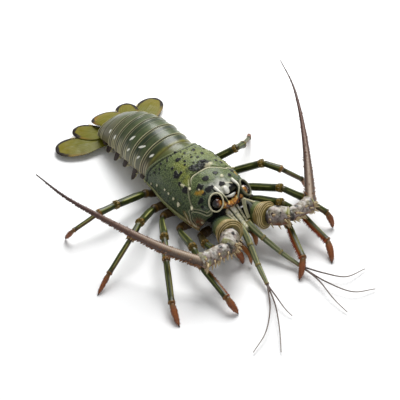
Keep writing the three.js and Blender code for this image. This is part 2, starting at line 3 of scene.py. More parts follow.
import bpy
import numpy as np
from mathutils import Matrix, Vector


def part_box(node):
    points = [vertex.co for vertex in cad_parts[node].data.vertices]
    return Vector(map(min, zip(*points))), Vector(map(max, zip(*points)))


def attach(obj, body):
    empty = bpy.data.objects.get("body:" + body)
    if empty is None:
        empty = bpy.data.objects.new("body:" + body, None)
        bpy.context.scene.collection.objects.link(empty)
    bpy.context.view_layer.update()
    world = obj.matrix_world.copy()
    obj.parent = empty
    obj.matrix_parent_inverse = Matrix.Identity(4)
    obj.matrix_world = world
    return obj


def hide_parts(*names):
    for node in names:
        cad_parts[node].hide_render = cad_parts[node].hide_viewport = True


# A raw spiny lobster lying on its legs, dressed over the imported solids. Every shape is worked out
# in millimetres in the frame in which the solids were laid out (X to the head, Y to the animal's
# left, Z up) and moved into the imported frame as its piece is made.
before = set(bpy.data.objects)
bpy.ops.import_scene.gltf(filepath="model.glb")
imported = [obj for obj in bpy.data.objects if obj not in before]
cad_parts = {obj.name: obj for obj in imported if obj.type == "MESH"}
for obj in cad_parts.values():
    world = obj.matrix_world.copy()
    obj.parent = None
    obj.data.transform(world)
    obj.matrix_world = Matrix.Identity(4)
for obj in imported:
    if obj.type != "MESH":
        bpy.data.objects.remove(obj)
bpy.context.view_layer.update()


# ---------------------------------------------------------------- head shield
# One arched plate of hard shell over the whole front half of the animal, with a flared lower
# edge, a deep groove across it and a notch for each eye. Green, stippled with fine granules,
# with black pits, a grey face and cream thorns. The brow horns and eye rims grow out of it.
shield_low, shield_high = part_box("head_shield")
CENTRE = np.array([shield_low.x * 1000 + 26, (shield_low.y + shield_high.y) * 500, 0])

SHIELD_X = [-30, -6, 12, 40, 65, 85, 98, 110]
SHIELD_HALF = [42, 42.5, 44, 44.5, 42.5, 38, 33.5, 29]
SHIELD_TOP = [71, 74.5, 79, 81, 79, 72.5, 63, 55]
SHIELD_MID = [36, 36.5, 37, 37, 38, 38, 38, 38]
SHIELD_LOW = [27, 25, 21, 19, 18, 17, 18, 20]
SHIELD_ARC, SHIELD_REAR, SHIELD_SWEEP, SHIELD_FRONT = 116, -4, 22, 92
SHIELD_WALL, SHIELD_LIP, EYE_NOTCH, EYE_NOTCH_DEPTH = 2.2, 5.5, 34, 8


def along(stations, values, x):
    """Smooth curve through a table: cubic pieces whose slopes are the chords over the neighbours."""
    order = 1 if stations[-1] > stations[0] else -1
    xs = np.array(stations, float)[::order]
    ys = np.array(values, float)[::order]
    i = np.clip(np.searchsorted(xs, x) - 1, 0, len(xs) - 2)
    h = xs[i + 1] - xs[i]
    t = np.clip((x - xs[i]) / h, 0, 1)
    ends = (ys[1] - ys[0]) / (xs[1] - xs[0]), (ys[-1] - ys[-2]) / (xs[-1] - xs[-2])
    slope = np.concatenate([[ends[0]], (ys[2:] - ys[:-2]) / (xs[2:] - xs[:-2]), [ends[1]]])
    a = t * t * (3 - 2 * t)
    lean = slope[i] * t * (1 - t) ** 2 - slope[i + 1] * t * t * (1 - t)
    return ys[i] * (1 - a) + ys[i + 1] * a + h * lean


def smooth(low, high, v):
    """0 below low, 1 above high, with an even S between them."""
    t = np.clip((np.asarray(v, float) - low) / (high - low), 0, 1)
    return t * t * (3 - 2 * t)


def hump(v, middle, width):
    """A bell of height 1 about the middle."""
    return np.exp(-(((v - middle) / width) ** 2))


def held(v):
    """v held between 0 and 1."""
    return np.clip(v, 0, 1)


def round_angles(n):
    """n even steps of angle, once round."""
    return np.linspace(0, 2 * np.pi, n, endpoint=False)


def spread_out(down, across):
    """Two arrays of a grid from the values down it and the values across it."""
    return np.meshgrid(down, across, indexing="ij")


def lattice_number(cell, seed):
    """A fixed random number, 0 to 1, for each whole-number cell of space: its indices mixed bit by bit."""
    c = cell.astype(np.uint64)
    with np.errstate(over="ignore"):
        h = c[..., 0] * np.uint64(73856093) ^ c[..., 1] * np.uint64(19349663)
        h = h ^ c[..., 2] * np.uint64(83492791)
        h = (h ^ np.uint64(seed * 7919 + 17)) * np.uint64(0x9E3779B97F4A7C15)
        h = (h ^ (h >> np.uint64(31))) * np.uint64(0xBF58476D1CE4E5B9)
    return ((h >> np.uint64(40)) & np.uint64(0xFFFF)).astype(float) / 65535


def mottle(points, size, seed):
    """Smooth random blotches, -1 to 1: a random number at each corner of a lattice, blended between them."""
    q = points / size + 1000
    cell = np.floor(q)
    t = q - cell
    t = t * t * (3 - 2 * t)
    total = 0
    for corner in itertools.product((0, 1), repeat=3):
        weight = np.prod(np.where(corner, t, 1 - t), axis=-1)
        total = total + weight * lattice_number(cell + corner, seed)
    return 2 * total - 1


def nearest_grain(points, size, seed):
    """Distance, in cells, to the nearest of scattered grains, one to each lattice cell, and its number."""
    q = points / size + 1000
    cell = np.floor(q)
    best = np.full(points.shape[:-1], 9.0)
    own = np.zeros(points.shape[:-1])
    for step in itertools.product((-1, 0, 1), repeat=3):
        c = cell + step
        seat = c + 0.15 + 0.7 * np.stack([lattice_number(c, seed + k) for k in (1, 2, 3)], -1)
        d = np.linalg.norm(q - seat, axis=-1)
        own = np.where(d < best, lattice_number(c, seed + 4), own)
        best = np.minimum(best, d)
    return best, own


def line_distance(points, line):
    """Distance from each point to the nearest place on a line of straight pieces, and how far along it."""
    best = np.full(points.shape[:-1], 1e9)
    where = np.zeros(points.shape[:-1])
    for k, (a, b) in enumerate(zip(line[:-1], line[1:])):
        ab = b - a
        t = np.clip(((points - a) @ ab) / (ab @ ab + 1e-9), 0, 1)
        d = np.linalg.norm(points - a - t[..., None] * ab, axis=-1)
        where = np.where(d < best, (k + t) / (len(line) - 1), where)
        best = np.minimum(best, d)
    return best, where


def shield_point(s, phi, out=0.0):
    """The shield's surface: s runs from the rear to the front margin, phi in degrees from the lower right
    edge over the crown to the lower left. Half an oval above the widest line, a steeper one below it with
    a flared lip; the rear margin sweeps back at the sides and the front one is notched for the eyes."""
    s, phi = np.broadcast_arrays(np.asarray(s, float), np.asarray(phi, float))
    f, flat = np.radians(phi), np.abs(phi)
    side = np.sin(np.minimum(np.abs(f), np.pi / 2))
    rear = SHIELD_REAR - SHIELD_SWEEP * side**2
    front = (SHIELD_FRONT - EYE_NOTCH_DEPTH * hump(flat, EYE_NOTCH, 11) + 5 * hump(flat, 66, 14)
             - 8 * smooth(85, 116, flat))
    x = rear + (front - rear) * s
    half, top = along(SHIELD_X, SHIELD_HALF, x), along(SHIELD_X, SHIELD_TOP, x)
    mid, low = along(SHIELD_X, SHIELD_MID, x), along(SHIELD_X, SHIELD_LOW, x)
    lip = SHIELD_LIP * smooth(94, SHIELD_ARC, flat)
    y = np.sign(phi) * ((half + out) * np.abs(np.sin(f)) + lip)
    below = mid + (mid - low) * np.cos(f) / -np.cos(np.radians(SHIELD_ARC))
    z = np.where(np.cos(f) > 0, mid + (top + out - mid) * np.cos(f), below)
    return np.stack([x, y, z], -1)


def outward(grid):
    """Unit normals of a grid of points: the cross product of its two directions."""
    n = np.cross(np.gradient(grid, axis=1), np.gradient(grid, axis=0))
    return n / (np.linalg.norm(n, axis=-1, keepdims=True) + 1e-9)


def sheet_faces(rows, cols, first=0, turned=False, wrap=False):
    """Four-sided faces over a grid of points, row after row; wrap joins the last column to the first."""
    i, j = spread_out(np.arange(rows - 1), np.arange(cols if wrap else cols - 1))
    k = (j + 1) % cols
    quad = np.stack([i * cols + j, i * cols + k, (i + 1) * cols + k, (i + 1) * cols + j], -1)
    quad = quad.reshape(-1, 4) + first
    return quad[:, ::-1] if turned else quad


def margin_loop(rows, cols):
    """The points round the margin of a grid, in order."""
    first, last = np.arange(cols), (rows - 1) * cols + np.arange(cols)
    return np.concatenate([first[:-1], np.arange(rows - 1) * cols + cols - 1, last[:0:-1],
                           np.arange(rows - 1, 0, -1) * cols])


def shell(points, faces, **marks):
    """One closed shell: its points in millimetres, its faces and what is painted where. Its faces are turned
    over where the volume that they enclose comes out negative, so that they look outwards."""
    volume = 0.0
    for f in faces:
        p = points[f]
        for k in range(1, f.shape[1] - 1):
            volume += np.einsum("ij,ij->", p[:, 0], np.cross(p[:, k], p[:, k + 1]))
    faces = [f[:, ::-1] if volume < 0 else f for f in faces]
    return {"points": points, "faces": faces, "marks": marks}


def tube_shell(grid, ends=None, end_share=0, **marks):
    """A closed tube: a grid of points, ring after ring, whose two open ends close on a point each, the middle
    of the end ring unless it is given. Marks are numbers over the grid, and an end point takes the share of
    its ring's mean."""
    rows, cols = grid.shape[:2]
    ends = grid[[0, -1]].mean(1) if ends is None else ends
    j = np.arange(cols)
    k = (j + 1) % cols
    last = (rows - 1) * cols
    caps = [np.stack([k, j, np.full(cols, rows * cols)], -1),
            np.stack([last + j, last + k, np.full(cols, rows * cols + 1)], -1)]
    values = {}
    for name, mark in marks.items():
        v = np.broadcast_to(mark, (rows, cols))
        values[name] = np.concatenate([v.ravel(), v[[0, -1]].mean(1) * end_share])
    points = np.concatenate([grid.reshape(-1, 3), ends])
    return shell(points, [sheet_faces(rows, cols, wrap=True)] + caps, **values)


def make_piece(name, shells, paint, stands_for):
    """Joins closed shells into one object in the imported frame, with a number at each point for each mark."""
    points = np.concatenate([s["points"] for s in shells])
    offset = np.concatenate([[0], np.cumsum([len(s["points"]) for s in shells])])
    corners = [f + offset[k] for k, s in enumerate(shells) for f in s["faces"]]
    sizes = np.concatenate([np.full(len(f), f.shape[1]) for f in corners])
    starts = np.concatenate([[0], np.cumsum(sizes)[:-1]])
    mesh = bpy.data.meshes.new(name)
    mesh.vertices.add(len(points))
    mesh.vertices.foreach_set("co", ((points + CENTRE) / 1000).astype(np.float32).ravel())
    mesh.loops.add(int(sizes.sum()))
    mesh.loops.foreach_set("vertex_index", np.concatenate([f.ravel() for f in corners]).astype(np.int32))
    mesh.polygons.add(len(sizes))
    mesh.polygons.foreach_set("loop_start", starts.astype(np.int32))
    mesh.polygons.foreach_set("use_smooth", np.ones(len(sizes), bool))
    mesh.update(calc_edges=True)
    for mark in sorted({m for s in shells for m in s["marks"]}):
        values = [np.broadcast_to(np.ravel(s["marks"].get(mark, 0.0)), len(s["points"])) for s in shells]
        layer = mesh.attributes.new(mark, "FLOAT", "POINT")
        layer.data.foreach_set("value", np.concatenate(values).astype(np.float32))
    mesh.materials.append(paint)
    piece = bpy.data.objects.new(name, mesh)
    bpy.context.scene.collection.objects.link(piece)
    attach(piece, "root")
    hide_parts(stands_for)


def smooth_path(path, s):
    """Points and directions at the shares s of a smooth path's length: a curve through all the points, whose
    pace follows the square root of the distance between them, carried straight on past its ends."""
    p = np.array(path, float)
    p = np.concatenate([[2 * p[0] - p[1]], p, [2 * p[-1] - p[-2]]])
    gap = np.maximum(np.linalg.norm(np.diff(p, axis=0), axis=1) ** 0.5, 1e-4)[:, None]
    chord = np.diff(p, axis=0) / gap
    a, b, da, db, dc = p[1:-2], p[2:-1], gap[:-2], gap[1:-1], gap[2:]
    leave = (chord[:-2] - (p[2:-1] - p[:-3]) / (da + db) + chord[1:-1]) * db
    reach = (chord[1:-1] - (p[3:] - p[1:-2]) / (db + dc) + chord[2:]) * db
    t = np.linspace(0, 1, 61)[None, :, None]
    fine = (a[:, None] * (2 * t**3 - 3 * t**2 + 1) + leave[:, None] * (t**3 - 2 * t**2 + t)
            + b[:, None] * (3 * t**2 - 2 * t**3) + reach[:, None] * (t**3 - t**2))
    fine = np.concatenate([fine[:, :-1].reshape(-1, 3), p[-2:-1]])
    step = np.linalg.norm(np.diff(fine, axis=0), axis=1)
    run = np.concatenate([[0], np.cumsum(step)])
    want = np.asarray(s, float) * run[-1]
    inside = np.clip(want, 0, run[-1])
    at = np.stack([np.interp(inside, run, fine[:, k]) for k in range(3)], -1)
    way = np.gradient(fine, run, axis=0)
    way = np.stack([np.interp(inside, run, way[:, k]) for k in range(3)], -1)
    way /= np.linalg.norm(way, axis=-1, keepdims=True)
    return at + way * (want - inside)[:, None], way, run[-1]


def course(path, s, hint):
    """A smooth path at the shares s: its points, its directions, those square to them and to the hint, those
    square to both, and its length."""
    at, way, length = smooth_path(path, s)
    side = np.cross(way, hint)
    side /= np.linalg.norm(side, axis=-1, keepdims=True) + 1e-9
    return at, way, side, np.cross(side, way), length


def limb(path, s, wide, high, sides=28, relief=None, **marks):
    """A closed limb: ovals of half widths and half heights along a smooth path. relief is added to both. It
    and every mark may be a function of the share s, the angle, which is 0 at one side and a quarter turn on
    top, and the path's length."""
    s = np.asarray(s, float)
    steep = abs(smooth_path(path, [0.5])[1][0][2]) > 0.8
    at, way, side, up, length = course(path, s, (1, 0, 0) if steep else (0, 0, 1))
    angle = round_angles(sides)[None, :]
    along_it = s[:, None]
    extra = relief(along_it, angle, length) if relief else 0
    w = np.broadcast_to(np.asarray(wide, float), s.shape)[:, None] + extra
    h = np.broadcast_to(np.asarray(high, float), s.shape)[:, None] + extra
    grid = (at[:, None] + side[:, None] * (w * np.cos(angle))[..., None]
            + up[:, None] * (h * np.sin(angle))[..., None])
    values = {name: mark(along_it, angle, length) if callable(mark) else mark for name, mark in marks.items()}
    return tube_shell(grid, at[[0, -1]], end_share=1, **values)


def thorns(bases, ways, lengths, radii, sides=6, **marks):
    """Many small thorns as one shell: each is four rings that close on a point, laid along its own way."""
    bases, ways = np.array(bases, float), np.array(ways, float)
    n = len(bases)
    ways = ways / np.linalg.norm(ways, axis=1, keepdims=True)
    lengths, radii = np.broadcast_to(lengths, n), np.broadcast_to(radii, n)
    side = np.cross(ways, np.where(np.abs(ways[:, 2:3]) < 0.9, [[0, 0, 1.0]], [[1.0, 0, 0]]))
    side /= np.linalg.norm(side, axis=1, keepdims=True)
    up = np.cross(side, ways)
    rise, spread = np.array([-0.25, 0.15, 0.5, 0.8]), np.array([1.0, 0.86, 0.52, 0.25])
    angle = round_angles(sides)
    ring = side[:, None, None] * np.cos(angle)[:, None] + up[:, None, None] * np.sin(angle)[:, None]
    body = (bases[:, None, None] + ways[:, None, None] * (lengths[:, None, None, None] * rise[:, None, None])
            + ring * (radii[:, None, None, None] * spread[:, None, None]))
    tip = bases + ways * lengths[:, None]
    foot = bases - ways * lengths[:, None] * 0.25
    each = 4 * sides + 2
    points = np.concatenate([body.reshape(n, -1, 3), tip[:, None], foot[:, None]], 1).reshape(-1, 3)
    j = np.arange(sides)
    k = (j + 1) % sides
    first = (np.arange(n) * each)[:, None, None]
    quads = (sheet_faces(4, sides, wrap=True)[None] + first).reshape(-1, 4)
    ends = np.concatenate([np.stack([3 * sides + j, 3 * sides + k, np.full(sides, 4 * sides)], -1),
                           np.stack([k, j, np.full(sides, 4 * sides + 1)], -1)])
    values = {"tip": np.tile(np.concatenate([np.repeat(np.maximum(rise, 0), sides), [1, 0]]), n)}
    for name, mark in marks.items():
        values[name] = np.repeat(np.broadcast_to(mark, n), each)
    return shell(points, [quads, (ends[None] + first).reshape(-1, 3)], **values)


def colour(code):
    """A screen colour such as #5f7350 as light, for a shader."""
    c = np.array([int(code[k:k + 2], 16) for k in (1, 3, 5)]) / 255
    c = np.where(c <= 0.04045, c / 12.92, ((c + 0.055) / 1.055) ** 2.4)
    return (*map(float, c), 1.0)


class Amount:
    """One socket of a shader, so that sums and products are written as plain expressions."""

    def __init__(self, paint, socket):
        self.paint, self.socket = paint, socket

    def step(self, operation, *values):
        """One step of arithmetic on sockets and plain numbers."""
        return self.paint.node("ShaderNodeMath", {"operation": operation}, dict(enumerate(values)))

    def __add__(self, other):
        return self.step("ADD", self, other)

    def __radd__(self, other):
        return self.step("ADD", other, self)

    def __rsub__(self, other):
        return self.step("SUBTRACT", other, self)

    def __mul__(self, other):
        return self.step("MULTIPLY", self, other)

    def __rmul__(self, other):
        return self.step("MULTIPLY", other, self)

    def between(self, low, high):
        """0 at low and 1 at high."""
        return self.paint.node("ShaderNodeMapRange", {"clamp": True},
                               {"Value": self, "From Min": low, "From Max": high}, "Result")


class Paint:
    """A finish made of nodes: a ground colour, the layers that cover it and the shader that they feed."""

    def __init__(self, name, ground=None, **fixed):
        self.material = bpy.data.materials.new(name)
        self.material.use_nodes = True
        self.tree = self.material.node_tree
        self.tree.nodes.clear()
        self.shader = self.tree.nodes.new("ShaderNodeBsdfPrincipled")
        out = self.tree.nodes.new("ShaderNodeOutputMaterial")
        self.tree.links.new(self.shader.outputs[0], out.inputs[0])
        self.base = colour(ground) if ground else None
        for socket, value in fixed.items():
            self.shader.inputs[socket.replace("_", " ")].default_value = value

    def feed(self, socket, value):
        """Links a socket to an amount, or sets it to a plain value."""
        if isinstance(value, Amount):
            self.tree.links.new(value.socket, socket)
        else:
            socket.default_value = value

    def node(self, kind, settings=None, sockets=None, out=0):
        """Any node: its type, its settings, then the values or links of its sockets by name or number."""
        n = self.tree.nodes.new(kind)
        for key, value in (settings or {}).items():
            setattr(n, key, value)
        for key, value in (sockets or {}).items():
            self.feed(n.inputs[key], value)
        return Amount(self, n.outputs[out])

    def place(self):
        """The place in the piece's own coordinates."""
        return self.node("ShaderNodeTexCoord", out="Object")

    def mark(self, name):
        """How strongly the mark of that name is painted."""
        settings = {"attribute_name": name, "attribute_type": "GEOMETRY"}
        return self.node("ShaderNodeAttribute", settings, out="Fac")

    def mix(self, a, b, share, blend="MIX"):
        """Colour a turning to colour b by the share, or to a times b where they multiply."""
        settings = {"data_type": "RGBA", "blend_type": blend}
        return self.node("ShaderNodeMix", settings, {0: share, 6: a, 7: b}, out=2)

    def cover(self, code, share):
        """Lays a colour over what is there, by a share or wherever the mark of that name is painted."""
        share = self.mark(share) if isinstance(share, str) else share
        self.base = self.mix(self.base, colour(code), share)

    def shade(self, red, green, blue, share):
        """Darkens what is there by a tone, by the share."""
        self.base = self.mix(self.base, (red, green, blue, 1), share, "MULTIPLY")

    def noise(self, per_mm, detail=3.0, rough=0.55, stretch=None):
        """Cloudy noise with so many waves a millimetre, drawn out along X, Y and Z by the stretch."""
        where = self.place()
        if stretch:
            where = self.node("ShaderNodeMapping", None, {"Vector": where, "Scale": stretch})
        sockets = {"Vector": where, "Scale": per_mm * 1000, "Detail": detail, "Roughness": rough}
        return self.node("ShaderNodeTexNoise", None, sockets, "Fac")

    def grains(self, per_mm, randomness=1.0):
        """Distance to the nearest of scattered round grains, so many a millimetre."""
        sockets = {"Vector": self.place(), "Scale": per_mm * 1000, "Randomness": randomness}
        return self.node("ShaderNodeTexVoronoi", None, sockets, "Distance")

    def finish(self, roughness, height=None, depth_mm=0.2, strength=1.0):
        """Feeds the shader: the colour, the roughness and a height that stands out by so much."""
        self.feed(self.shader.inputs["Base Color"], self.base)
        self.feed(self.shader.inputs["Roughness"], roughness)
        if height is not None:
            sockets = {"Height": height, "Distance": depth_mm / 1000, "Strength": strength}
            self.feed(self.shader.inputs["Normal"], self.node("ShaderNodeBump", None, sockets))
        return self.material


def shell_paint(name, ground, light, deep, granules=1.0, gloss=0.4, coat=0.12):
    """Wet crustacean shell: a ground colour clouded with a deeper one, overlaid by the marks that the piece
    carries (light, deep, olive, lilac, rust, dark, cream, white, gold, belly), with fine granules on it."""
    p = Paint(name, ground, Coat_Weight=coat, Coat_Roughness=0.22, Specular_IOR_Level=0.3)
    fine = p.noise(0.55, 3)
    dots = p.grains(0.62)
    speck = 1 - dots.between(0.14, 0.42)
    lilac = p.mark("lilac")
    p.cover(deep, p.noise(0.06, 4).between(0.5, 0.72) * 0.7)
    p.cover(light, "light")
    p.cover(deep, "deep")
    p.cover("#8d9038", p.mark("olive") * (0.78 + fine * 0.4))
    p.cover("#7c7f7c", lilac * (0.75 + fine * 0.3))
    p.cover(light, speck * granules * (0.62 - lilac * 0.5))
    # the gaps between the granules are darkened: painted shade between the bumps
    p.shade(0.42, 0.46, 0.42, dots.between(0.45, 0.75) * granules * (1 - lilac * 0.8))
    p.cover("#7a3d14", p.mark("rust") * (0.6 + fine * 0.6))
    p.cover("#020304", "dark")
    p.cover("#d6cfae", p.mark("cream") * (0.8 + fine * 0.3))
    p.cover("#e8e6dc", "white")
    p.cover("#c0902a", "gold")
    p.cover("#6b5a3a", "belly")
    p.shade(0.66, 0.68, 0.64, p.noise(0.25, 2).between(0.5, 0.75))
    rough = gloss + fine * 0.16 + p.mark("belly") * 0.25 + p.mark("dark") * 0.12
    height = speck * (0.6 * granules) + fine * 0.3
    return p.finish(rough, height, depth_mm=0.45, strength=0.9)


# Lines on the shield as (s, phi): the groove from the cheek over the crown, its branches to the eye and down,
# the yellow strip at the jaw and the cream line of the brow.
GROOVE = [(0.82, -80), (0.78, -72), (0.73, -65), (0.69, -56), (0.67, -47), (0.63, -38), (0.595, -28),
          (0.565, -18), (0.56, -8), (0.575, 0), (0.61, 8), (0.66, 17), (0.72, 26), (0.74, 38), (0.735, 50),
          (0.75, 62), (0.78, 72), (0.82, 80)]
CHEEK_LINE = [(0.82, -80), (0.89, -74), (0.96, -71), (0.985, -61)]
JAW_LINE = [(0.82, -80), (0.80, -88), (0.86, -101), (0.94, -106)]
STRIP_LINE = [(0.74, -96), (0.79, -101), (0.88, -110)]
BROW_LINE = [(0.90, 4), (0.905, 7), (0.93, 15), (0.955, 20)]
# Black pits as (s, phi, radius): seen ones first, then the like of them beyond the crown, then small ones.
PITS = [(0.22, -25, 3.0), (0.13, -36, 1.5), (0.09, -46, 1.3), (0.14, -55, 1.6), (0.12, -67, 1.3),
        (0.09, -78, 1.0), (0.03, -14, 1.2), (0.10, -9, 0.9), (0.16, -8, 1.0), (0.18, 9, 2.0),
        (0.13, 19, 1.2), (0.31, 15, 2.0), (0.29, -6, 1.4), (0.35, 1, 1.2), (0.30, -19, 1.2),
        (0.37, -24, 1.2), (0.46, 1, 2.4), (0.54, 22, 1.6), (0.62, 30, 1.6), (0.42, -46, 3.4),
        (0.30, -41, 1.8), (0.52, -54, 2.2), (0.63, -55, 4.0), (0.38, -43, 2.0), (0.45, -38, 1.6),
        (0.24, 32, 1.6), (0.14, 40, 1.4), (0.33, 44, 2.6), (0.45, 38, 1.8), (0.52, 54, 2.2),
        (0.63, 58, 3.6), (0.10, 52, 1.3), (0.20, 60, 1.5), (0.12, 70, 1.2), (0.40, 62, 1.4),
        (0.07, -24, 0.8), (0.08, -32, 0.7), (0.17, -44, 0.8), (0.20, -15, 0.8), (0.24, -3, 0.7),
        (0.07, 4, 0.7), (0.12, 2, 0.8), (0.22, -50, 0.8), (0.18, -62, 0.8), (0.26, 6, 0.8),
        (0.10, -60, 0.7), (0.40, -12, 0.9)]
FACE_SPOTS = [(0.73, -20, 4.0), (0.82, -37, 4.2), (0.72, 0, 2.6), (0.89, -3, 3.6), (0.885, -22, 3.0),
              (0.86, -54, 3.4), (0.935, 12, 3.4), (0.985, 11, 5.0), (0.965, 17, 4.0), (0.84, 22, 3.0),
              (0.80, 38, 3.2), (0.88, 54, 3.0), (0.92, -31, 4.6), (0.895, -27, 3.4), (0.90, -40, 3.0),
              (0.84, -60, 2.4), (0.885, -62, 2.2)]
GOLD_SPOTS = [(0.79, -48, 2.6), (0.83, -44, 2.8), (0.87, -40, 2.4), (0.80, 46, 3.0)]
KNOBS = [(0.56, -53, 1.8), (0.585, -52.5, 1.7), (0.98, -96, 2.0), (0.80, 6, 2.2), (0.985, -4, 2.4),
         (0.82, -41, 1.4), (0.56, 53, 1.8), (0.98, 96, 2.0), (0.63, -86, 1.9), (0.63, 86, 1.9)]
# Side spines of one side as (s, phi, size): the row along the flank, one on the cheek, one behind the groove.
THORN_ROW = [(0.13, -98, 1.0), (0.24, -86, 1.1), (0.38, -80, 1.2), (0.45, -81, 1.2), (0.54, -83, 1.3),
             (0.63, -86, 2.0), (0.8, 76, 1.9), (0.68, 50, 1.5)]


def on_shield(list_of, out=0.0, side=1):
    """Places of the shield's surface for a list of (s, phi)."""
    a = np.array([[p[0], p[1] * side] for p in list_of], float)
    return shield_point(a[:, 0], a[:, 1], out)


def fine_line(list_of, side=1, shift=0.0):
    """A line of (s, phi) drawn finely over the shield, moved along s by the shift."""
    a = np.array(list_of, float)
    knot = np.arange(len(a))
    k = np.linspace(0, len(a) - 1, 6 * len(a))
    return shield_point(np.interp(k, knot, a[:, 0]) + shift, np.interp(k, knot, a[:, 1]) * side)


ROWS, COLS, COARSE = 225, 321, 4
BOTH = (-1, 1)
s_at, phi_at = spread_out(np.linspace(0, 1, ROWS), np.linspace(-SHIELD_ARC, SHIELD_ARC, COLS))
flat = np.abs(phi_at)
skin = shield_point(s_at, phi_at)
away = outward(skin)
away *= np.sign(np.sum(away * (skin - [40, 0, 36]), axis=-1, keepdims=True))
wobble = 1 + 0.35 * mottle(skin, 3.0, 41) + 0.2 * mottle(skin, 1.3, 42)


def gap_to(list_of, side=1, shift=0.0):
    """How far each point of the shield lies from a line of (s, phi)."""
    return line_distance(skin, fine_line(list_of, side, shift))[0]


def blots(list_of, soften):
    """How dark each point is for spots given as (s, phi, radius), their outlines made uneven."""
    total = np.zeros(skin.shape[:2])
    for seat, r in zip(on_shield(list_of), [p[2] for p in list_of]):
        d = np.linalg.norm(skin - seat, axis=-1) / wobble
        total = np.maximum(total, 1 - smooth(r - soften, r + soften, d))
    return total


# where each feature of the shield lies, from 0 to 1
groove_gap = gap_to(GROOVE)
lip_gap = gap_to(GROOVE, shift=0.022)
branch_gap = np.minimum.reduce([gap_to(line, side) for line in (CHEEK_LINE, JAW_LINE) for side in BOTH])
strip_gap = gap_to(STRIP_LINE)
groove_s = np.interp(phi_at, [p[1] for p in GROOVE], [p[0] for p in GROOVE])
front_part = smooth(-0.02, 0.03, s_at - groove_s)
pits = blots([(s, phi, 1.15 * r + 0.35) for s, phi, r in PITS], 0.5)
spots = blots(FACE_SPOTS, 0.6)
bright_spot = blots(GOLD_SPOTS, 1.2)
knob = blots(KNOBS, 0.6)
grain_gap, grain_own = nearest_grain(skin, 2.5, 3)
grain = (1 - smooth(0.12, 0.5, grain_gap)) * (0.5 + 0.5 * grain_own)
rear_line = hump(s_at, 0.047, 0.011)
rear_rim = 1 - smooth(0.018, 0.034, s_at)
flange = smooth(102, 106, flat)
flange_line = hump(flat, 103.5, 1.1) * smooth(0.05, 0.15, s_at)
smooth_face = front_part * (1 - smooth(30, 62, flat))
rough_part = (1 - 0.75 * smooth_face) * (1 - flange) * (1 - rear_rim) * (1 - 0.8 * smooth(86, 100, flat))
behind_groove = hump(s_at, 0.50, 0.085) * hump(phi_at, -9, 22) * (1 - front_part)
navy = behind_groove * (1.5 + 0.9 * mottle(skin, 3.4, 11) + 0.5 * mottle(skin, 1.5, 12)) - 0.45
navy = held(held(navy) * 2.6)
# gleam: the white-blue glints on the navy zone behind the groove, painted highlights laid in with the cream
# mark
gleam = held(hump(s_at, 0.55, 0.035) * hump(phi_at, 2, 12) * (1 + mottle(skin, 2.6, 13)) * 1.2 - 0.35)
gleam *= 1 - front_part
yellow = (0.75 * hump(s_at, 0.56, 0.10) * hump(flat, 42, 9)
          + 0.55 * hump(s_at, 0.36, 0.10) * hump(flat, 31, 9)
          + 0.25 * hump(s_at, 0.2, 0.12) * hump(flat, 5, 18))
yellow = held(1.6 * yellow * (1 + 0.9 * mottle(skin, 5.0, 21))) * (1 - front_part)
cheek = hump(s_at, 0.95, 0.06) * hump(flat, 99, 9)
strip = held(1.3 * hump(strip_gap, 0, 2.6))

# how far the shell stands out, with its edges rounded over
relief = (0.55 * grain * rough_part
          - 1.7 * hump(groove_gap, 0, 1.7) + 0.95 * hump(lip_gap, 0, 1.2)
          - 0.9 * hump(branch_gap, 0, 1.2) + 0.35 * hump(branch_gap, 2.4, 1.0)
          - 0.7 * rear_line + 0.5 * rear_rim
          + 0.9 * pits * (1 - 0.2 * grain) + 0.5 * spots + 0.8 * knob
          + 0.30 * flange * np.cos((flat - 104) * 1.4)
          + 0.45 * mottle(skin, 9, 31) * (1 - flange)
          + 1.2 * navy * (0.4 + 0.6 * mottle(skin, 2.2, 14)))
edge = np.minimum.reduce([s_at * 118, (1 - s_at) * 118, (SHIELD_ARC - flat) * 0.75])
relief = relief * smooth(0, 2.5, edge) - 0.9 * (1 - smooth(0, 1.1, edge)) ** 2
outer = skin + away * relief[..., None]
inner = shield_point(s_at[::COARSE, ::COARSE], phi_at[::COARSE, ::COARSE], -SHIELD_WALL)
ring_out = margin_loop(ROWS, COLS)
ring_in = margin_loop(*inner.shape[:2]) + ROWS * COLS
m = np.arange(len(ring_in))
rim_faces = np.stack([np.roll(ring_out, -k)[m * COARSE] for k in range(COARSE + 1)]
                     + [np.roll(ring_in, -1), ring_in], -1)

# what is painted where
cream_lip = held(1.15 * hump(lip_gap, 0.2, 0.85) * (1 - smooth(33, 48, flat))
                 + 0.55 * hump(branch_gap, 1.9, 0.7)
                 + 0.5 * hump(groove_gap, 1.7, 0.7) * smooth(34, 44, flat) * (1 - front_part))
edge_lines = 0.7 * hump(flat, 114.3, 1.5) + 0.4 * hump(flat, 107.5, 1.2)
front_edge = held(hump(s_at, 1.0, 0.014) * hump(flat, 34, 16) + hump(gap_to(BROW_LINE), 0, 0.75))
pale_face = smooth_face * smooth(0.76, 0.88, s_at) * hump(phi_at, -8, 17) ** 0.7
temple = front_part * smooth(0.78, 0.84, s_at) * hump(flat, 54, 14)
# lilac-grey glints on the dark temples beside the eyes: painted highlights, laid in with the lilac mark
temple_glints = 0.7 * temple * held(1.6 * mottle(skin, 4.5, 56) - 0.2)
flank = (0.5 * smooth(58, 92, flat) + 0.45 * smooth(100, 104, flat)) * (1 - flange)
nose_line = 0.6 * hump(s_at, 0.93, 0.07) * hump(phi_at, -4, 8) * (1 - spots)
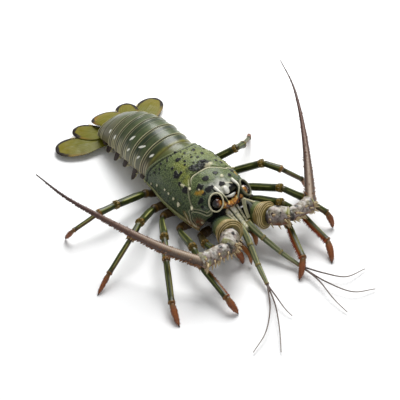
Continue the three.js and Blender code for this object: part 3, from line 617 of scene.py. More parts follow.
shield_marks = {
    "light": 0.36 * smooth(75, 10, flat) * (1 - 0.4 * smooth_face) + 0.35 * grain * rough_part,
    "deep": 0.8 * front_part * hump(flat, 50, 15) * smooth(0.78, 0.86, s_at) + flank,
    "olive": held(0.8 * yellow + 0.55 * flange + 0.7 * strip + bright_spot),
    "lilac": held(pale_face + temple_glints) * (1 - 0.9 * bright_spot),
    "rust": held(0.95 * cheek * (1 + 0.8 * mottle(skin, 2.5, 51)) + 0.5 * flange * smooth(0.55, 1, s_at)
                 + 0.35 * bright_spot + 0.5 * strip),
    "white": held(0.5 * pale_face * (0.7 + 0.9 * mottle(skin, 3.2, 52))) * (1 - spots),
    "gold": held(0.75 * bright_spot * (0.8 + 0.8 * mottle(skin, 1.6, 53))),
    "dark": held(pits + spots + 0.95 * navy + 0.8 * hump(groove_gap, -0.4, 0.9)
                 + 0.55 * hump(branch_gap, 0, 0.8) + rear_line + 0.75 * flange_line),
    "cream": held(cream_lip + 0.9 * knob + 0.75 * gleam + 0.12 * rear_rim + 0.9 * front_edge + nose_line
                  + edge_lines + 0.75 * hump(strip_gap, 0, 0.7)),
}
inside = np.zeros(inner[..., 0].size)
shield_values = {name: np.concatenate([mark.ravel(), inside + (name == "deep")])
                 for name, mark in shield_marks.items()}
carapace = shell(np.concatenate([outer.reshape(-1, 3), inner.reshape(-1, 3)]),
                 [sheet_faces(ROWS, COLS), sheet_faces(*inner.shape[:2], first=ROWS * COLS, turned=True),
                  rim_faces[:, ::-1]], **shield_values)


def hoop(middle, normal, wide, high, section, turns=96, **marks):
    """A closed hoop: a flat outline, given as steps outwards and along the normal, carried round an oval of
    half widths wide and high about the middle, square to the normal. Each mark has a value for each outline
    point."""
    n = np.array(normal, float) / np.linalg.norm(normal)
    u = np.cross(n, [0, 0, 1])
    u /= np.linalg.norm(u)
    v = np.cross(n, u)
    out, rise = np.array(section, float).T
    a = round_angles(turns)[:, None]
    p = (np.array(middle) + ((wide + out) * np.cos(a))[..., None] * u
         + ((high + out) * np.sin(a))[..., None] * v + rise[None, :, None] * n)
    points = len(out)
    j = np.arange(points)
    k = (j + 1) % points
    last = (turns - 1) * points
    seam = np.stack([last + j, last + k, k, j], -1)
    return shell(p.reshape(-1, 3), [sheet_faces(turns, points, wrap=True), seam],
                 **{m: np.tile(f, turns) for m, f in marks.items()})


# The outline of an eye rim: a rounded cream bead in front of a dark skirt that runs back into the shield.
BEAD_R, BEAD_STEPS = 0.95, 9
bead_turn = np.linspace(0, np.pi, BEAD_STEPS)
RIM = ([(BEAD_R * np.cos(b), 0.6 + BEAD_R * np.sin(b)) for b in bead_turn]
       + [(-0.95, -1.5), (-0.9, -4), (-0.7, -6.5), (0.2, -6.7), (1.0, -6.5), (1.05, -4), (1.0, -1.5)])
EYE_RIM_AT, EYE_RIM_FACING, EYE_RIM = np.array([96, 23.1, 64.6]), np.array([0.6, 0.5, 0.62]), (8.7, 11.4)
HORN_ROOT = [(0.9, 21)]
HORN = [[95, 13, 69.6], [100.9, 7.4, 58.3]]
LIFT = 3.0

grown_on = []
for side in BOTH:
    mirror = np.array([1, side, 1])
    # the far rim's bead is painted darker and less cream than the near one: painted shade
    bead_cream, bead_painted_shade = (0.95, 0.0) if side < 0 else (0.3, 0.6)
    grown_on.append(hoop(EYE_RIM_AT * mirror, EYE_RIM_FACING * mirror, *EYE_RIM, RIM,
                         cream=[bead_cream] * BEAD_STEPS + [0.0] * 7,
                         dark=[bead_painted_shade] * BEAD_STEPS + [1.0] * 4 + [0.8] * 3))
    # the brow horn: flattened, with a cream upper edge and black sides; the white on its top near the root is
    # a painted highlight
    s = np.linspace(0, 1, 50)
    grown_on.append(limb([on_shield(HORN_ROOT, -1.5, side)[0]] + [q * mirror for q in HORN], s,
                         np.interp(s, [0, 0.5, 0.85, 1], [2.8, 1.8, 1.1, 0.4]),
                         np.interp(s, [0, 0.5, 0.85, 1], [4.4, 3.5, 1.9, 0.5]), 32,
                         white=lambda s, a, L: hump(s, 0.2, 0.24) * smooth(0.3, 0.75, np.sin(a)),
                         cream=lambda s, a, L: smooth(0.75, 0.93, np.sin(a)),
                         dark=lambda s, a, L: 1 - smooth(0.3, 0.7, np.sin(a))))
    spine_s, spine_phi, sizes = np.array(THORN_ROW).T
    foot, top = (shield_point(spine_s, spine_phi * side, out) for out in (0, LIFT))
    grown_on.append(thorns(foot, top - foot + [2.6, 0, 0], 3.4 * sizes, 1.45 * sizes, 8, cream=0.95))
# the round nose at the middle of the front margin, and the white lip that hangs below it
s = np.linspace(0, 1, 24)
nose = 3.6 * np.sqrt(np.clip(1 - (2 * s - 1) ** 4, 0.01, 1))
grown_on.append(limb([[84, -1.5, 71.5], [89, -2, 69.5], [93.8, -2.5, 66.2]], s, nose, 0.7 * nose, 24,
                     lilac=0.8, white=lambda s, a, L: 0.5 + 0.4 * np.sin(a),
                     cream=lambda s, a, L: 0.8 * smooth(0.6, 0.9, s)))
lip = np.sin(np.pi * (0.08 + 0.8 * s))
grown_on.append(limb([[93, -7.5, 63.5], [96.0, 1, 63.0], [94, 9, 62.0]], s, 2.2 * lip * (0.4 + 0.6 * s),
                     3.4 * lip * (0.35 + 0.65 * s), 20, white=0.9, lilac=0.3))
# a black thorn in each pit
pit_s, pit_phi, pit_size = np.array(PITS).T
foot, top = (shield_point(pit_s, pit_phi, out) for out in (0.3, LIFT))
grown_on.append(thorns(foot, top - foot + [3.4, 0, 0], 0.9 + 0.4 * pit_size, 0.3 + 0.25 * pit_size, 8,
                       dark=1.0))

shell_green = shell_paint("shell_green", "#50603a", "#8c9558", "#2a4030", granules=1.0, gloss=0.42)
make_piece("carapace", [carapace] + grown_on, shell_green, "head_shield")


# --------------------------------------------------------------------- thorax
# The body under the shield: the breastplate between the legs, thin shell the colour of parchment,
# darker where it closes the front between the eyes. The shield sits over it.
BODY_REAR, BODY_LENGTH, BODY_GAP, BODY_LOW = 3, 84, 1.2, 9
SOCKET_PITCH, FIRST_SOCKET = 19, 31
u, f = spread_out(np.linspace(0, 1, 70), round_angles(96))
c, sn = np.cos(f), np.sin(f)
x = BODY_REAR + BODY_LENGTH * u
half, top, mid = (along(SHIELD_X, v, x) for v in (SHIELD_HALF, SHIELD_TOP, SHIELD_MID))
top = top - SHIELD_WALL - BODY_GAP
half = half - SHIELD_WALL - BODY_GAP
low = BODY_LOW + 5 * smooth(60, 90, x)
draw = 1 - 0.12 * smooth(0.75, 1, u)
# sections of the shield's own oval less its wall, pulled down to the breastplate, waved at the legs' sockets
socket = 0.64 * np.cos(2 * np.pi * (x - FIRST_SOCKET) / SOCKET_PITCH) * smooth(0.1, 0.6, -c)
y = half * draw * np.sign(sn) * np.where(c < 0, np.abs(sn) ** 1.25, np.abs(sn))
z = np.where(c > 0, mid + (top - mid) * c * draw, mid + (mid - low) * c + socket)
dark_front = smooth(0.82, 0.92, u)
brown_side = smooth(-0.75, -0.2, c)
thorax = tube_shell(np.stack([x, y, z], -1), end_share=1, dark=dark_front, rust=0.35 * brown_side,
                    belly=(1.0 - 0.4 * brown_side) * (1 - dark_front))
underside_paint = shell_paint("underside_shell", "#574a30", "#8d8560", "#2c2418", granules=0.2, gloss=0.5,
                              coat=0.05)
make_piece("breastplate", [thorax], underside_paint, "thorax")


# ----------------------------------------------------------------------- eyes
# Two stalked eyes, glassy black with an amber glint, each a ball of fine facets on a short stalk
# that comes out between the brow horns.
EYE, EYE_SIZE = np.array([94.3, 20.4, 60.0]), 7.6


def ball_shell(middle, size, rings=36, sides=48, **marks):
    """A closed ball of rings between two poles; each mark may be a function of the outward direction."""
    f, a = spread_out(np.linspace(0, np.pi, rings + 2)[1:-1], round_angles(sides))
    way = np.stack([np.sin(f) * np.cos(a), np.sin(f) * np.sin(a), np.cos(f)], -1)
    poles = np.array([[0, 0, 1.0], [0, 0, -1.0]])
    return tube_shell(middle + way * size, middle + poles * size, end_share=1,
                      **{name: mark(way) if callable(mark) else mark for name, mark in marks.items()})


def patch(s, a, L, size, seed):
    """Smooth random blotches over a limb, from the place along it and the angle about it."""
    return mottle(np.stack(np.broadcast_arrays(s * L, 9 * np.cos(a), 9 * np.sin(a)), -1), size, seed)


p = Paint("eye_glass", "#030202", Coat_Weight=0.6, Coat_Roughness=0.03, Specular_IOR_Level=0.6)
facets = p.grains(4.2, randomness=0.25)
glow = p.noise(0.17, 2, 0.5)
amber = p.mark("amber") * glow.between(0.40, 0.54)
p.cover("#4a1c08", "brown")
p.cover("#c8801e", amber)
p.cover("#f0cf78", amber * glow.between(0.54, 0.62))
eye_glass = p.finish(0.09 + 0.05 * facets, facets, depth_mm=0.08, strength=0.35)

for side, word in zip(BOTH, ("right", "left")):
    middle = EYE * [1, side, 1]
    glint = np.array([0.5, -0.77 * side, 0.39])
    ball = ball_shell(middle, EYE_SIZE, amber=lambda w: smooth(0.3, 0.85, w @ glint),
                      brown=lambda w: smooth(0.0, 0.5, w @ glint))
    s = np.linspace(0, 1, 40)
    stalk = limb([[99, side, 53.5], [98.5, side * 8, 55], middle], s,
                 np.interp(s, [0, 0.5, 1], [4.8, 5.0, 5.2]), np.interp(s, [0, 0.5, 1], [4.6, 4.9, 5.2]), 40,
                 amber=1.0, brown=0.8,
                 relief=lambda s, a, L: 0.45 * patch(s, a, L, 2.4, 89))
    make_piece(f"eye_{word}_glass", [ball, stalk], eye_glass, f"eye_{word}")


# ----------------------------------------------------------------- face plate
# A narrow plate between the two antennae, cast in lengthwise cream ribs with dark gaps,
# held between the antenna bases; a raised V of cream shell stands at its far side.
PLATE_START, PLATE_LENGTH = 99, 30
u, f = spread_out(np.linspace(0, 1, 64), round_angles(120))
c, sn = np.cos(f), np.sin(f)
across = np.sign(sn) * np.abs(sn) ** 0.8
rib = np.cos(3.3 * np.pi * sn + 0.35)
steps_down = smooth(0.32, 0.36, u) + smooth(0.66, 0.70, u)
wide = 12.5 - 4 * u
top = 49 - 13.5 * u - 0.8 * (steps_down - 2 * u)
low = 27 - 3 * u
height = np.sign(c) * np.abs(c) ** 0.75 * np.where(c > 0, 1 + 0.085 * rib, 1)
z = (top + low) / 2 + (top - low) / 2 * height
plate = np.stack([PLATE_START + PLATE_LENGTH * u, wide * across, z], -1)
crest = smooth(-0.75, 0.0, rib) * (c > -0.2)
spread = np.stack([PLATE_LENGTH * u, wide * across, 0 * u], -1)
# white flecks on the rib crests, on the upper side only: painted highlights
crest_highlight = hump(u, 0.16, 0.06) + 0.6 * smooth(0.1, 0.7, mottle(spread, 1.8, 55))
face = tube_shell(plate, end_share=1, light=0.7 * crest, white=held(crest * crest_highlight) * (c > 0),
                  cream=held(0.75 * crest + 0.3 * mottle(spread, 2.4, 54) - 0.5 * hump(u, 0.35, 0.02)
                             - 0.5 * hump(u, 0.69, 0.02)),
                  # the darkening across the end next to the eye stalks is painted shade of the gap there
                  dark=held(0.95 * smooth(-0.75, -0.97, rib) + 0.6 * (c < -0.2) + 0.7 * hump(u, 0.35, 0.012)
                            + 1 - smooth(0.04, 0.1, u)))
# the V: a broad bar to the front, one outwards, a web between them with a black bar that stands for the shade
# in its gap (painted shade), and the short near bar
VEE = [106.5, 11.6, 59.0]
s = np.linspace(0, 1, 30)
vee = [limb([VEE, [113, 9.5, 50], [121, 8.8, 39.5]], s, 2.6 - 0.6 * s, 2.2 - 0.6 * s, 20, olive=0.2,
            cream=lambda s, a, L: 0.35 + 0.6 * smooth(0.5, 0.95, np.abs(np.cos(a))),
            dark=lambda s, a, L: 0.4 * hump(a, np.pi / 2, 0.3)),
       limb([VEE, [108, 21, 52], [111.5, 30.5, 45.5]], s, 1.9 - 0.6 * s, 1.8 - 0.6 * s, 20, cream=0.85,
            olive=0.2),
       limb([[107.5, 14, 56], [112, 18.5, 47.5], [117, 18, 38]], s, 1.2 + 4.2 * s, 1.6 + 1.2 * s, 24,
            dark=0.15, lilac=lambda s, a, L: 0.9 * smooth(0.7, 0.4, s),
            cream=lambda s, a, L: 0.5 * smooth(0.55, 0.75, s)),
       limb([[110.5, 14.2, 52], [114, 14.0, 47.5], [118, 12.5, 42]], s, 1.3 * np.sin(np.pi * (0.1 + 0.8 * s)),
            3.4, 16, dark=1.0),
       limb([[104, -12.5, 45], [112, -11, 43.5], [121, -9.5, 41]], s, 1.25 - 0.3 * s, 1.1 - 0.3 * s, 12,
            cream=0.85, olive=0.3)]
face_paint = shell_paint("ribbed_cream_shell", "#656a47", "#9a9d78", "#2c2c1e", granules=0.15, gloss=0.32)
make_piece("face_ribs", [face] + vee, face_paint, "face_plate")


# ------------------------------------------------------------------- antennae
# Two heavy antennae. Each has three stalk pieces of shell that hinge on one another: a green
# dome ringed with cream ridges at its mouth, then two lilac-grey barrels set with cream thorns.
# The whip is one long taper of fine rings with rows of tiny thorns, swung back along the body.
STALK = {"right": [[103, -23, 35], [132.5, -29.5, 42.6], [151, -49, 45.5], [148.5, -86, 42.5]],
         "left": [[103, 23, 32.5], [132.5, 29.5, 40], [151, 49, 43.2], [148.3, 85.5, 41]]}
STALK_R = [[11.5, 14.2, 17.5], [11.0, 12.2, 10.6], [9.0, 9.0, 10.4]]
STALK_AT = [-0.12, -0.02, 0.25, 0.6, 0.95, 1.04]
MOUTH, RIDGE_PITCH = 0.95, 0.105
# Black spots on the two barrels, as the share of the length and the angle, with their sizes.
BLACK_SPOTS = {1: ([0.5, 0.25, 0.75, 0.62, 0.35], [1.9, 0.9, 2.6, 1.0, 3.4]),
               2: ([0.3, 0.62, 0.85, 0.45, 0.15], [1.6, 2.0, 1.2, 2.6, 2.9])}
BLACK_SIZES = (2.6, 1.9, 1.6, 1.3, 1.5)
# Of each barrel's spines, half stand in rows at these shares of its length.
SPINE_COUNT, SPINE_ROWS = {1: 20, 2: 30}, {1: [0.97, 0.95], 2: [0.95, 0.97, 0.14]}
WHIP = {
    "right": [[148.5, -87, 42.5], [112.5, -110.5, 48.3], [70, -133, 57.6], [39.5, -157.5, 76.8],
              [7, -180, 95], [-34, -194, 110]],
    "left": [[148.3, 86.5, 41], [107.2, 119.2, 50.8], [67, 147, 69.8], [38, 164, 85.8],
             [2.8, 181.6, 99.8], [-37, 195, 110]],
}
WHIP_AT = [0, 0.2, 0.45, 0.62, 0.82, 1]
WHIP_R = {"right": [6.2, 5.6, 4.1, 2.9, 1.6, 0.7], "left": [6.3, 5.7, 3.6, 2.3, 1.1, 0.6]}
WHIP_PITCH, PRICKLES = 2.3, 420


def limb_seats(path, s, angle, radius):
    """Places on a limb's surface, the way out from its middle line and the way along it, for shares s and
    angles about it."""
    at, way, side, up, _ = course(path, s, (0, 0, 1))
    out = side * np.cos(angle)[:, None] + up * np.sin(angle)[:, None]
    return at + out * np.broadcast_to(radius, s.shape)[:, None], out, way


def stalk_radius(k, s):
    """Half width of stalk piece k at the share s of its length: narrow at its hinge, wide near its mouth."""
    r = STALK_R[k]
    return np.interp(s, STALK_AT, [r[0] * 0.45, r[0] * 0.86, r[1] * 0.98, r[1], r[2], r[2] * 0.72])


def rings(s, L, pitch):
    """A wave of the given pitch along a limb of length L, 1 on each ring and -1 between them."""
    return np.cos(2 * np.pi * s * L / pitch)


def mouth(s):
    """How near the dome's ridged mouth a place is: 0 on its first half, 1 from two thirds on."""
    return smooth(0.55, 0.68, s)


def ridge(s):
    """The dome's ridges, 1 on each crest: a wave of one pitch, drawn closer over the closing end."""
    past = s - MOUTH
    return 0.5 + 0.5 * np.cos(2 * np.pi * (past / RIDGE_PITCH + 1.5 * held(past / 0.09)))


def black_at(way, k, s, a):
    """Dark round spots on barrel k, their size varying from one to the next."""
    seat_s, seat_a = (np.array(v) for v in BLACK_SPOTS[k])
    black, _, _ = limb_seats(way, seat_s, seat_a, stalk_radius(k, seat_s))
    at, _, side, up, _ = course(way, s[:, 0], (0, 0, 1))
    r = stalk_radius(k, s)
    skin = at[:, None] + side[:, None] * (r * np.cos(a))[..., None] + up[:, None] * (r * np.sin(a))[..., None]
    gap = np.min([np.linalg.norm(skin - b, axis=-1) / size for b, size in zip(black, BLACK_SIZES)], axis=0)
    return 1 - smooth(0.75, 1.2, gap)


antenna_green = shell_paint("antenna_base_shell", "#46532c", "#7d8148", "#20332a", granules=0.55)
antenna_lilac = shell_paint("antenna_stalk_shell", "#80736f", "#b6a8a2", "#4c3f3a", granules=0.4, gloss=0.36)
p = Paint("whip_horn", "#6a5844", Coat_Weight=0.25, Coat_Roughness=0.2)
run, fine = p.mark("run"), p.noise(0.5, 3)
p.cover("#5c3024", run.between(0.05, 0.4))
p.cover("#2e140e", run.between(0.5, 0.95))
# the edge mark is painted shade on the side away from the light, the core a painted highlight on the lit side
p.cover("#3a1c0e", p.mark("edge") * 0.9)
p.cover("#b49f88", p.mark("core") * (0.95 - run * 1.2))
p.cover("#7c4e24", p.mark("tip") * 0.9)
p.shade(0.5, 0.45, 0.45, p.mark("joint"))
p.cover("#a39a8a", fine.between(0.58, 0.75) * (1 - run) * 0.3)
whip_horn = p.finish(0.42 + 0.2 * fine, fine, depth_mm=0.25, strength=0.5)

for side, word in zip(BOTH, ("right", "left")):
    knots = np.array(STALK[word])
    mid_knots = (knots[:-1] + knots[1:]) / 2
    rng = np.random.default_rng(5 + side)

    # the dome
    s = np.concatenate([np.linspace(-0.12, 0.948, 180), np.linspace(0.95, 1.04, 44)])
    r = stalk_radius(0, s)
    dome = limb([knots[0], mid_knots[0], knots[1]], s, r, r, 72,
                relief=lambda s, a, L: mouth(s) * (0.85 * ridge(s) * (1 - 0.6 * smooth(0.94, 0.96, s)) - 0.3),
                cream=lambda s, a, L: held(0.75 * mouth(s) * ridge(s) ** 2
                                           * (1 + 0.8 * patch(s, a, L, 3, 81))),
                gold=lambda s, a, L: 0.5 * mouth(s) * ridge(s),
                rust=lambda s, a, L: held(0.35 * mouth(s) * (1 - ridge(s)) + 0.9 * hump(s, 0.72, 0.12)
                                          * smooth(0.2, 0.9, np.cos(a) * side)
                                          * smooth(0.5, -0.6, np.sin(a))),
                dark=lambda s, a, L: 0.75 * mouth(s) * (1 - ridge(s)) ** 2,
                deep=lambda s, a, L: 0.9 * smooth(0.6, 0.2, s),
                olive=lambda s, a, L: 0.8 * mouth(s) * (1 - ridge(s)),
                light=lambda s, a, L: 0.35 * smooth(0.2, 0.5, s) * (1 + patch(s, a, L, 6, 90)))
    make_piece(f"antenna_{word}_dome", [dome], antenna_green, f"antenna_{word}_base")

    # the two barrels, their spines and the rust-coloured root of each spine
    for k, part in ((1, "middle"), (2, "end")):
        way = [knots[k], mid_knots[k], knots[k + 1]]
        r = stalk_radius(k, s)
        barrel = limb(way, s, r, r, 72,
                      relief=lambda s, a, L: (0.35 * np.cos(3 * a + 2.0) * smooth(0.1, 0.4, s)
                                              + 0.7 * hump(s, 0.97, 0.04) - 0.6 * hump(s, 0.05, 0.04)
                                              + 0.45 * patch(s, a, L, 2.6, 82)),
                      dark=lambda s, a, L: held(black_at(way, k, s, a) + 0.85 * (1 - smooth(0.02, 0.07, s))),
                      cream=lambda s, a, L: held(0.55 * hump(s, 0.985, 0.035) * (1 + patch(s, a, L, 2, 83))),
                      rust=lambda s, a, L: held(smooth(0.25, -0.6, np.sin(a))
                                                * (0.75 + 0.7 * patch(s, a, L, 3, 84))),
                      olive=lambda s, a, L: held((0.2 + hump(s, 0.93, 0.1)) * (0.4 + patch(s, a, L, 4, 85))),
                      deep=lambda s, a, L: held(1.5 * patch(s, a, L, 3.2, 86) - 0.05),
                      # the white and light marks on the barrels' upper side are painted highlight and painted
                      # light
                      white=lambda s, a, L: held(0.75 * patch(s, a, L, 2.6, 87)
                                                 * smooth(0.1, 0.9, np.sin(a))),
                      light=lambda s, a, L: (held(0.4 + 0.6 * patch(s, a, L, 5, 88))
                                             * smooth(-0.1, 0.7, np.sin(a))))
        n = SPINE_COUNT[k]
        seat_s = np.clip(rng.uniform(0.12, 1.0, n), 0, 0.98)
        seat_s[: n // 2] = rng.choice(SPINE_ROWS[k], n // 2)
        to_front = np.pi if side < 0 else 0.0
        seat_a = to_front - side * rng.uniform(-0.9, 1.3, n)
        foot, out, ahead = limb_seats(way, seat_s, seat_a, np.interp(seat_s, s, r) - 0.3)
        size = rng.uniform(4.2, 8.2, n)
        spikes = thorns(foot, out + ahead * 0.5, size, 0.6 + 0.14 * size, 8, cream=0.65, gold=0.35)
        roots = thorns(foot, out, 0.8, 1.1 + 0.17 * size, 8, rust=0.8, dark=0.2)
        make_piece(f"antenna_{word}_barrel_{part}", [barrel, spikes, roots], antenna_lilac,
                   f"antenna_{word}_{part}")

    # the whip: fine rings, a pale core painted where it is lit (painted highlight), the rest painted darker
    # brown away from the light (painted shade), and rows of prickles, most of them on the front side
    s = np.linspace(-0.012, 1, 760)
    radius = along(WHIP_AT, WHIP_R[word], held(s)) * np.where(s < 0, 0.8, 1)
    lit, lit_width = (1.72, 0.72) if side < 0 else (1.57, 0.52)
    lash = limb(WHIP[word], s, radius, radius, 22, run=lambda s, a, L: held(s),
                relief=lambda s, a, L: (0.028 * along(WHIP_AT, WHIP_R[word], held(s))
                                        * rings(s, L, WHIP_PITCH)),
                joint=lambda s, a, L: 0.5 * smooth(-0.2, -0.9, rings(s, L, WHIP_PITCH)),
                core=lambda s, a, L: hump(a, lit, lit_width) ** 2 * (1 - 0.7 * smooth(0.35, 0.9, s)),
                # edge: the darker brown over the side turned away from the light, painted shade
                edge=lambda s, a, L: 1 - hump(a, lit, 1.35 * lit_width))
    seat_s = np.sort(rng.uniform(0.005, 1, PRICKLES) ** 1.25) * 0.93
    in_row = rng.uniform(0, 1, PRICKLES) < 0.7
    row_a = (3.6 if side < 0 else -0.45) + rng.normal(0, 0.16, PRICKLES)
    seat_a = np.where(in_row, row_a, rng.uniform(0, 6.3, PRICKLES))
    foot, out, ahead = limb_seats(WHIP[word], seat_s, seat_a, along(WHIP_AT, WHIP_R[word], seat_s) * 0.96)
    size = (0.7 + 2.6 * (1 - seat_s)) * rng.uniform(0.7, 1.25, PRICKLES)
    prickles = thorns(foot, out + ahead * 0.7, size, 0.28 * size + 0.12, 5, run=seat_s, tip=1 - seat_s)
    make_piece(f"antenna_{word}_lash", [lash, prickles], whip_horn, f"antenna_{word}_whip")


# ----------------------------------------------------------------- tail rings
# Six hoops of glossy shell, each sliding under the one ahead of it, with a rolled cream hind
# edge, fine lines before it, long white marks at the sides and a spike at each lower corner.
TAIL_X = [8, -2, -25, -50, -75, -100, -125, -150]
TAIL_HALF = [36, 36.7, 37.8, 39.3, 38.6, 36.1, 33.3, 28.8]
TAIL_TOP = [69, 70, 73.5, 75, 73, 66.5, 56.2, 38.5]
TAIL_MID = [35, 35, 35, 33, 31, 27, 22, 17]
TAIL_AXIS = [0, -0.3, -0.3, 0.7, 2, 2.6, 2.2, 1.2]
RING_EDGES = [1, -34.5, -57.5, -81.5, -98, -115, -147]
RING_SWEEP, RING_STEP, RING_BELLY, RING_REACH = 6, 1.6, 9, 0.17
# Side spikes: for each ring the x, the height and how far out the point stands.
SPIKES = {1: (-41, 21, 0.8), 2: (-59.4, 6, 3), 3: (-82.2, 12.5, 2.3), 4: (-106.2, 6.8, 3.4),
          5: (-128, 6.5, 2.6), 6: (-141, 14.5, 0)}
# White marks: for each ring the (x, degrees from the crown) of both ends and the half width.
WHITE_MARKS = {1: [(-25.8, 52, -22.6, 43, 1.0)],
               2: [(-49.4, 51, -42.4, 42, 1.25), (-44.4, 72, -40.5, 63, 1.0)],
               3: [(-71.5, 52, -67.8, 40, 1.2), (-67.7, 73, -63.2, 65, 1.1)],
               4: [], 5: [(-104.6, 71, -103.7, 61, 1.25)], 6: [(-120.8, 65, -119.2, 54, 1.3)]}
AROUND = 240


def tail_point(x, f, over=0.0):
    """The tail's surface at the station x and the angle f from the crown: an oval above its widest line and a
    flattened one below, edges swept back at the sides; over lifts it all round."""
    half, top = along(TAIL_X, TAIL_HALF, x) + over, along(TAIL_X, TAIL_TOP, x) + over
    mid, axis = along(TAIL_X, TAIL_MID, x), along(TAIL_X, TAIL_AXIS, x)
    low = np.minimum(RING_BELLY, mid - 6)
    c, sn = np.cos(f), np.sin(f)
    return np.stack([x - RING_SWEEP * np.where(c < 0, 1, sn * sn) + 0 * f,
                     axis + half * np.where(c < 0, np.sign(sn) * np.abs(sn) ** 0.8 * (1 - 0.14 * c * c), sn),
                     np.where(c > 0, mid + (top - mid) * c, mid + (mid - low) * c * 0.8)], -1)


def side_spike(at, z, out, side):
    """A side spike, brown with a cream outline, and the three small teeth behind its root."""
    seat = at + RING_SWEEP
    axis, half = float(along(TAIL_X, TAIL_AXIS, seat)), float(along(TAIL_X, TAIL_HALF, seat))
    root = np.array([at + 6, axis + side * (half - 3.6), 33 * float(along(TAIL_X, TAIL_MID, at)) / 35])
    middle = [at + 4.6, axis + side * (half - 0.6), (root[2] + z) / 2]
    s = np.linspace(0, 1, 30)
    spike = limb([root, middle, [at, axis + side * (half - 1.4 + out), z]], s,
                 np.interp(s, [0, 0.5, 1], [2.4, 2.2, 0.3]),
                 np.interp(s, [0, 0.5, 0.8, 1], [5.2, 4.6, 3.2, 0.4]), 24,
                 brown=lambda s, a, L: (smooth(0.1, 0.4, np.abs(np.cos(a))) * smooth(0.06, 0.16, s)
                                        * (1 - smooth(0.94, 0.98, s))),
                 cream=lambda s, a, L: (smooth(0.03, 0.12, s) * (1 - smooth(0.15, 0.45, np.abs(np.cos(a))))
                                        + 0.6 * smooth(0.94, 1, s)),
                 lilac=lambda s, a, L: 0.7 * (1 - smooth(0.05, 0.15, s)))
    seats = [[at + 8 + 2.6 * n, axis + side * (half - 0.2), root[2] - 9 + 1.4 * n] for n in range(3)]
    return [spike, thorns(seats, np.tile([-0.5, 0.35 * side, -0.8], (3, 1)), 2.2, 0.8, 6, cream=0.8)]


p = Paint("tail_shell", "#364423", Coat_Weight=0.16, Coat_Roughness=0.16, Specular_IOR_Level=0.35)
fine, streak = p.noise(0.6, 3), p.noise(0.16, 3, stretch=(2.6, 1.0, 1.0))
p.cover("#1e2c18", p.noise(0.05, 4).between(0.45, 0.7))
p.cover("#566038", "light")
p.cover("#67634a", p.mark("lilac") * (0.7 + 0.5 * streak))
p.cover("#7d7a30", p.mark("olive") * (0.65 + 0.6 * streak))
p.cover("#6a4826", "rust")
p.shade(0.6, 0.62, 0.58, streak.between(0.52, 0.72) * 0.8)
p.cover("#0d1009", "dark")
p.cover("#241003", "brown")
p.cover("#c8c094", p.mark("cream") * (0.85 + 0.2 * fine))
p.cover("#f1efe2", "white")
p.cover("#a59b7c", "belly")
dull = 0.12 * p.mark("lilac") + 0.3 * p.mark("belly") + 0.3 * p.mark("brown")
tail_paint = p.finish(0.30 + 0.16 * fine + dull, fine * 0.5 + streak * 0.4, depth_mm=0.3, strength=0.45)

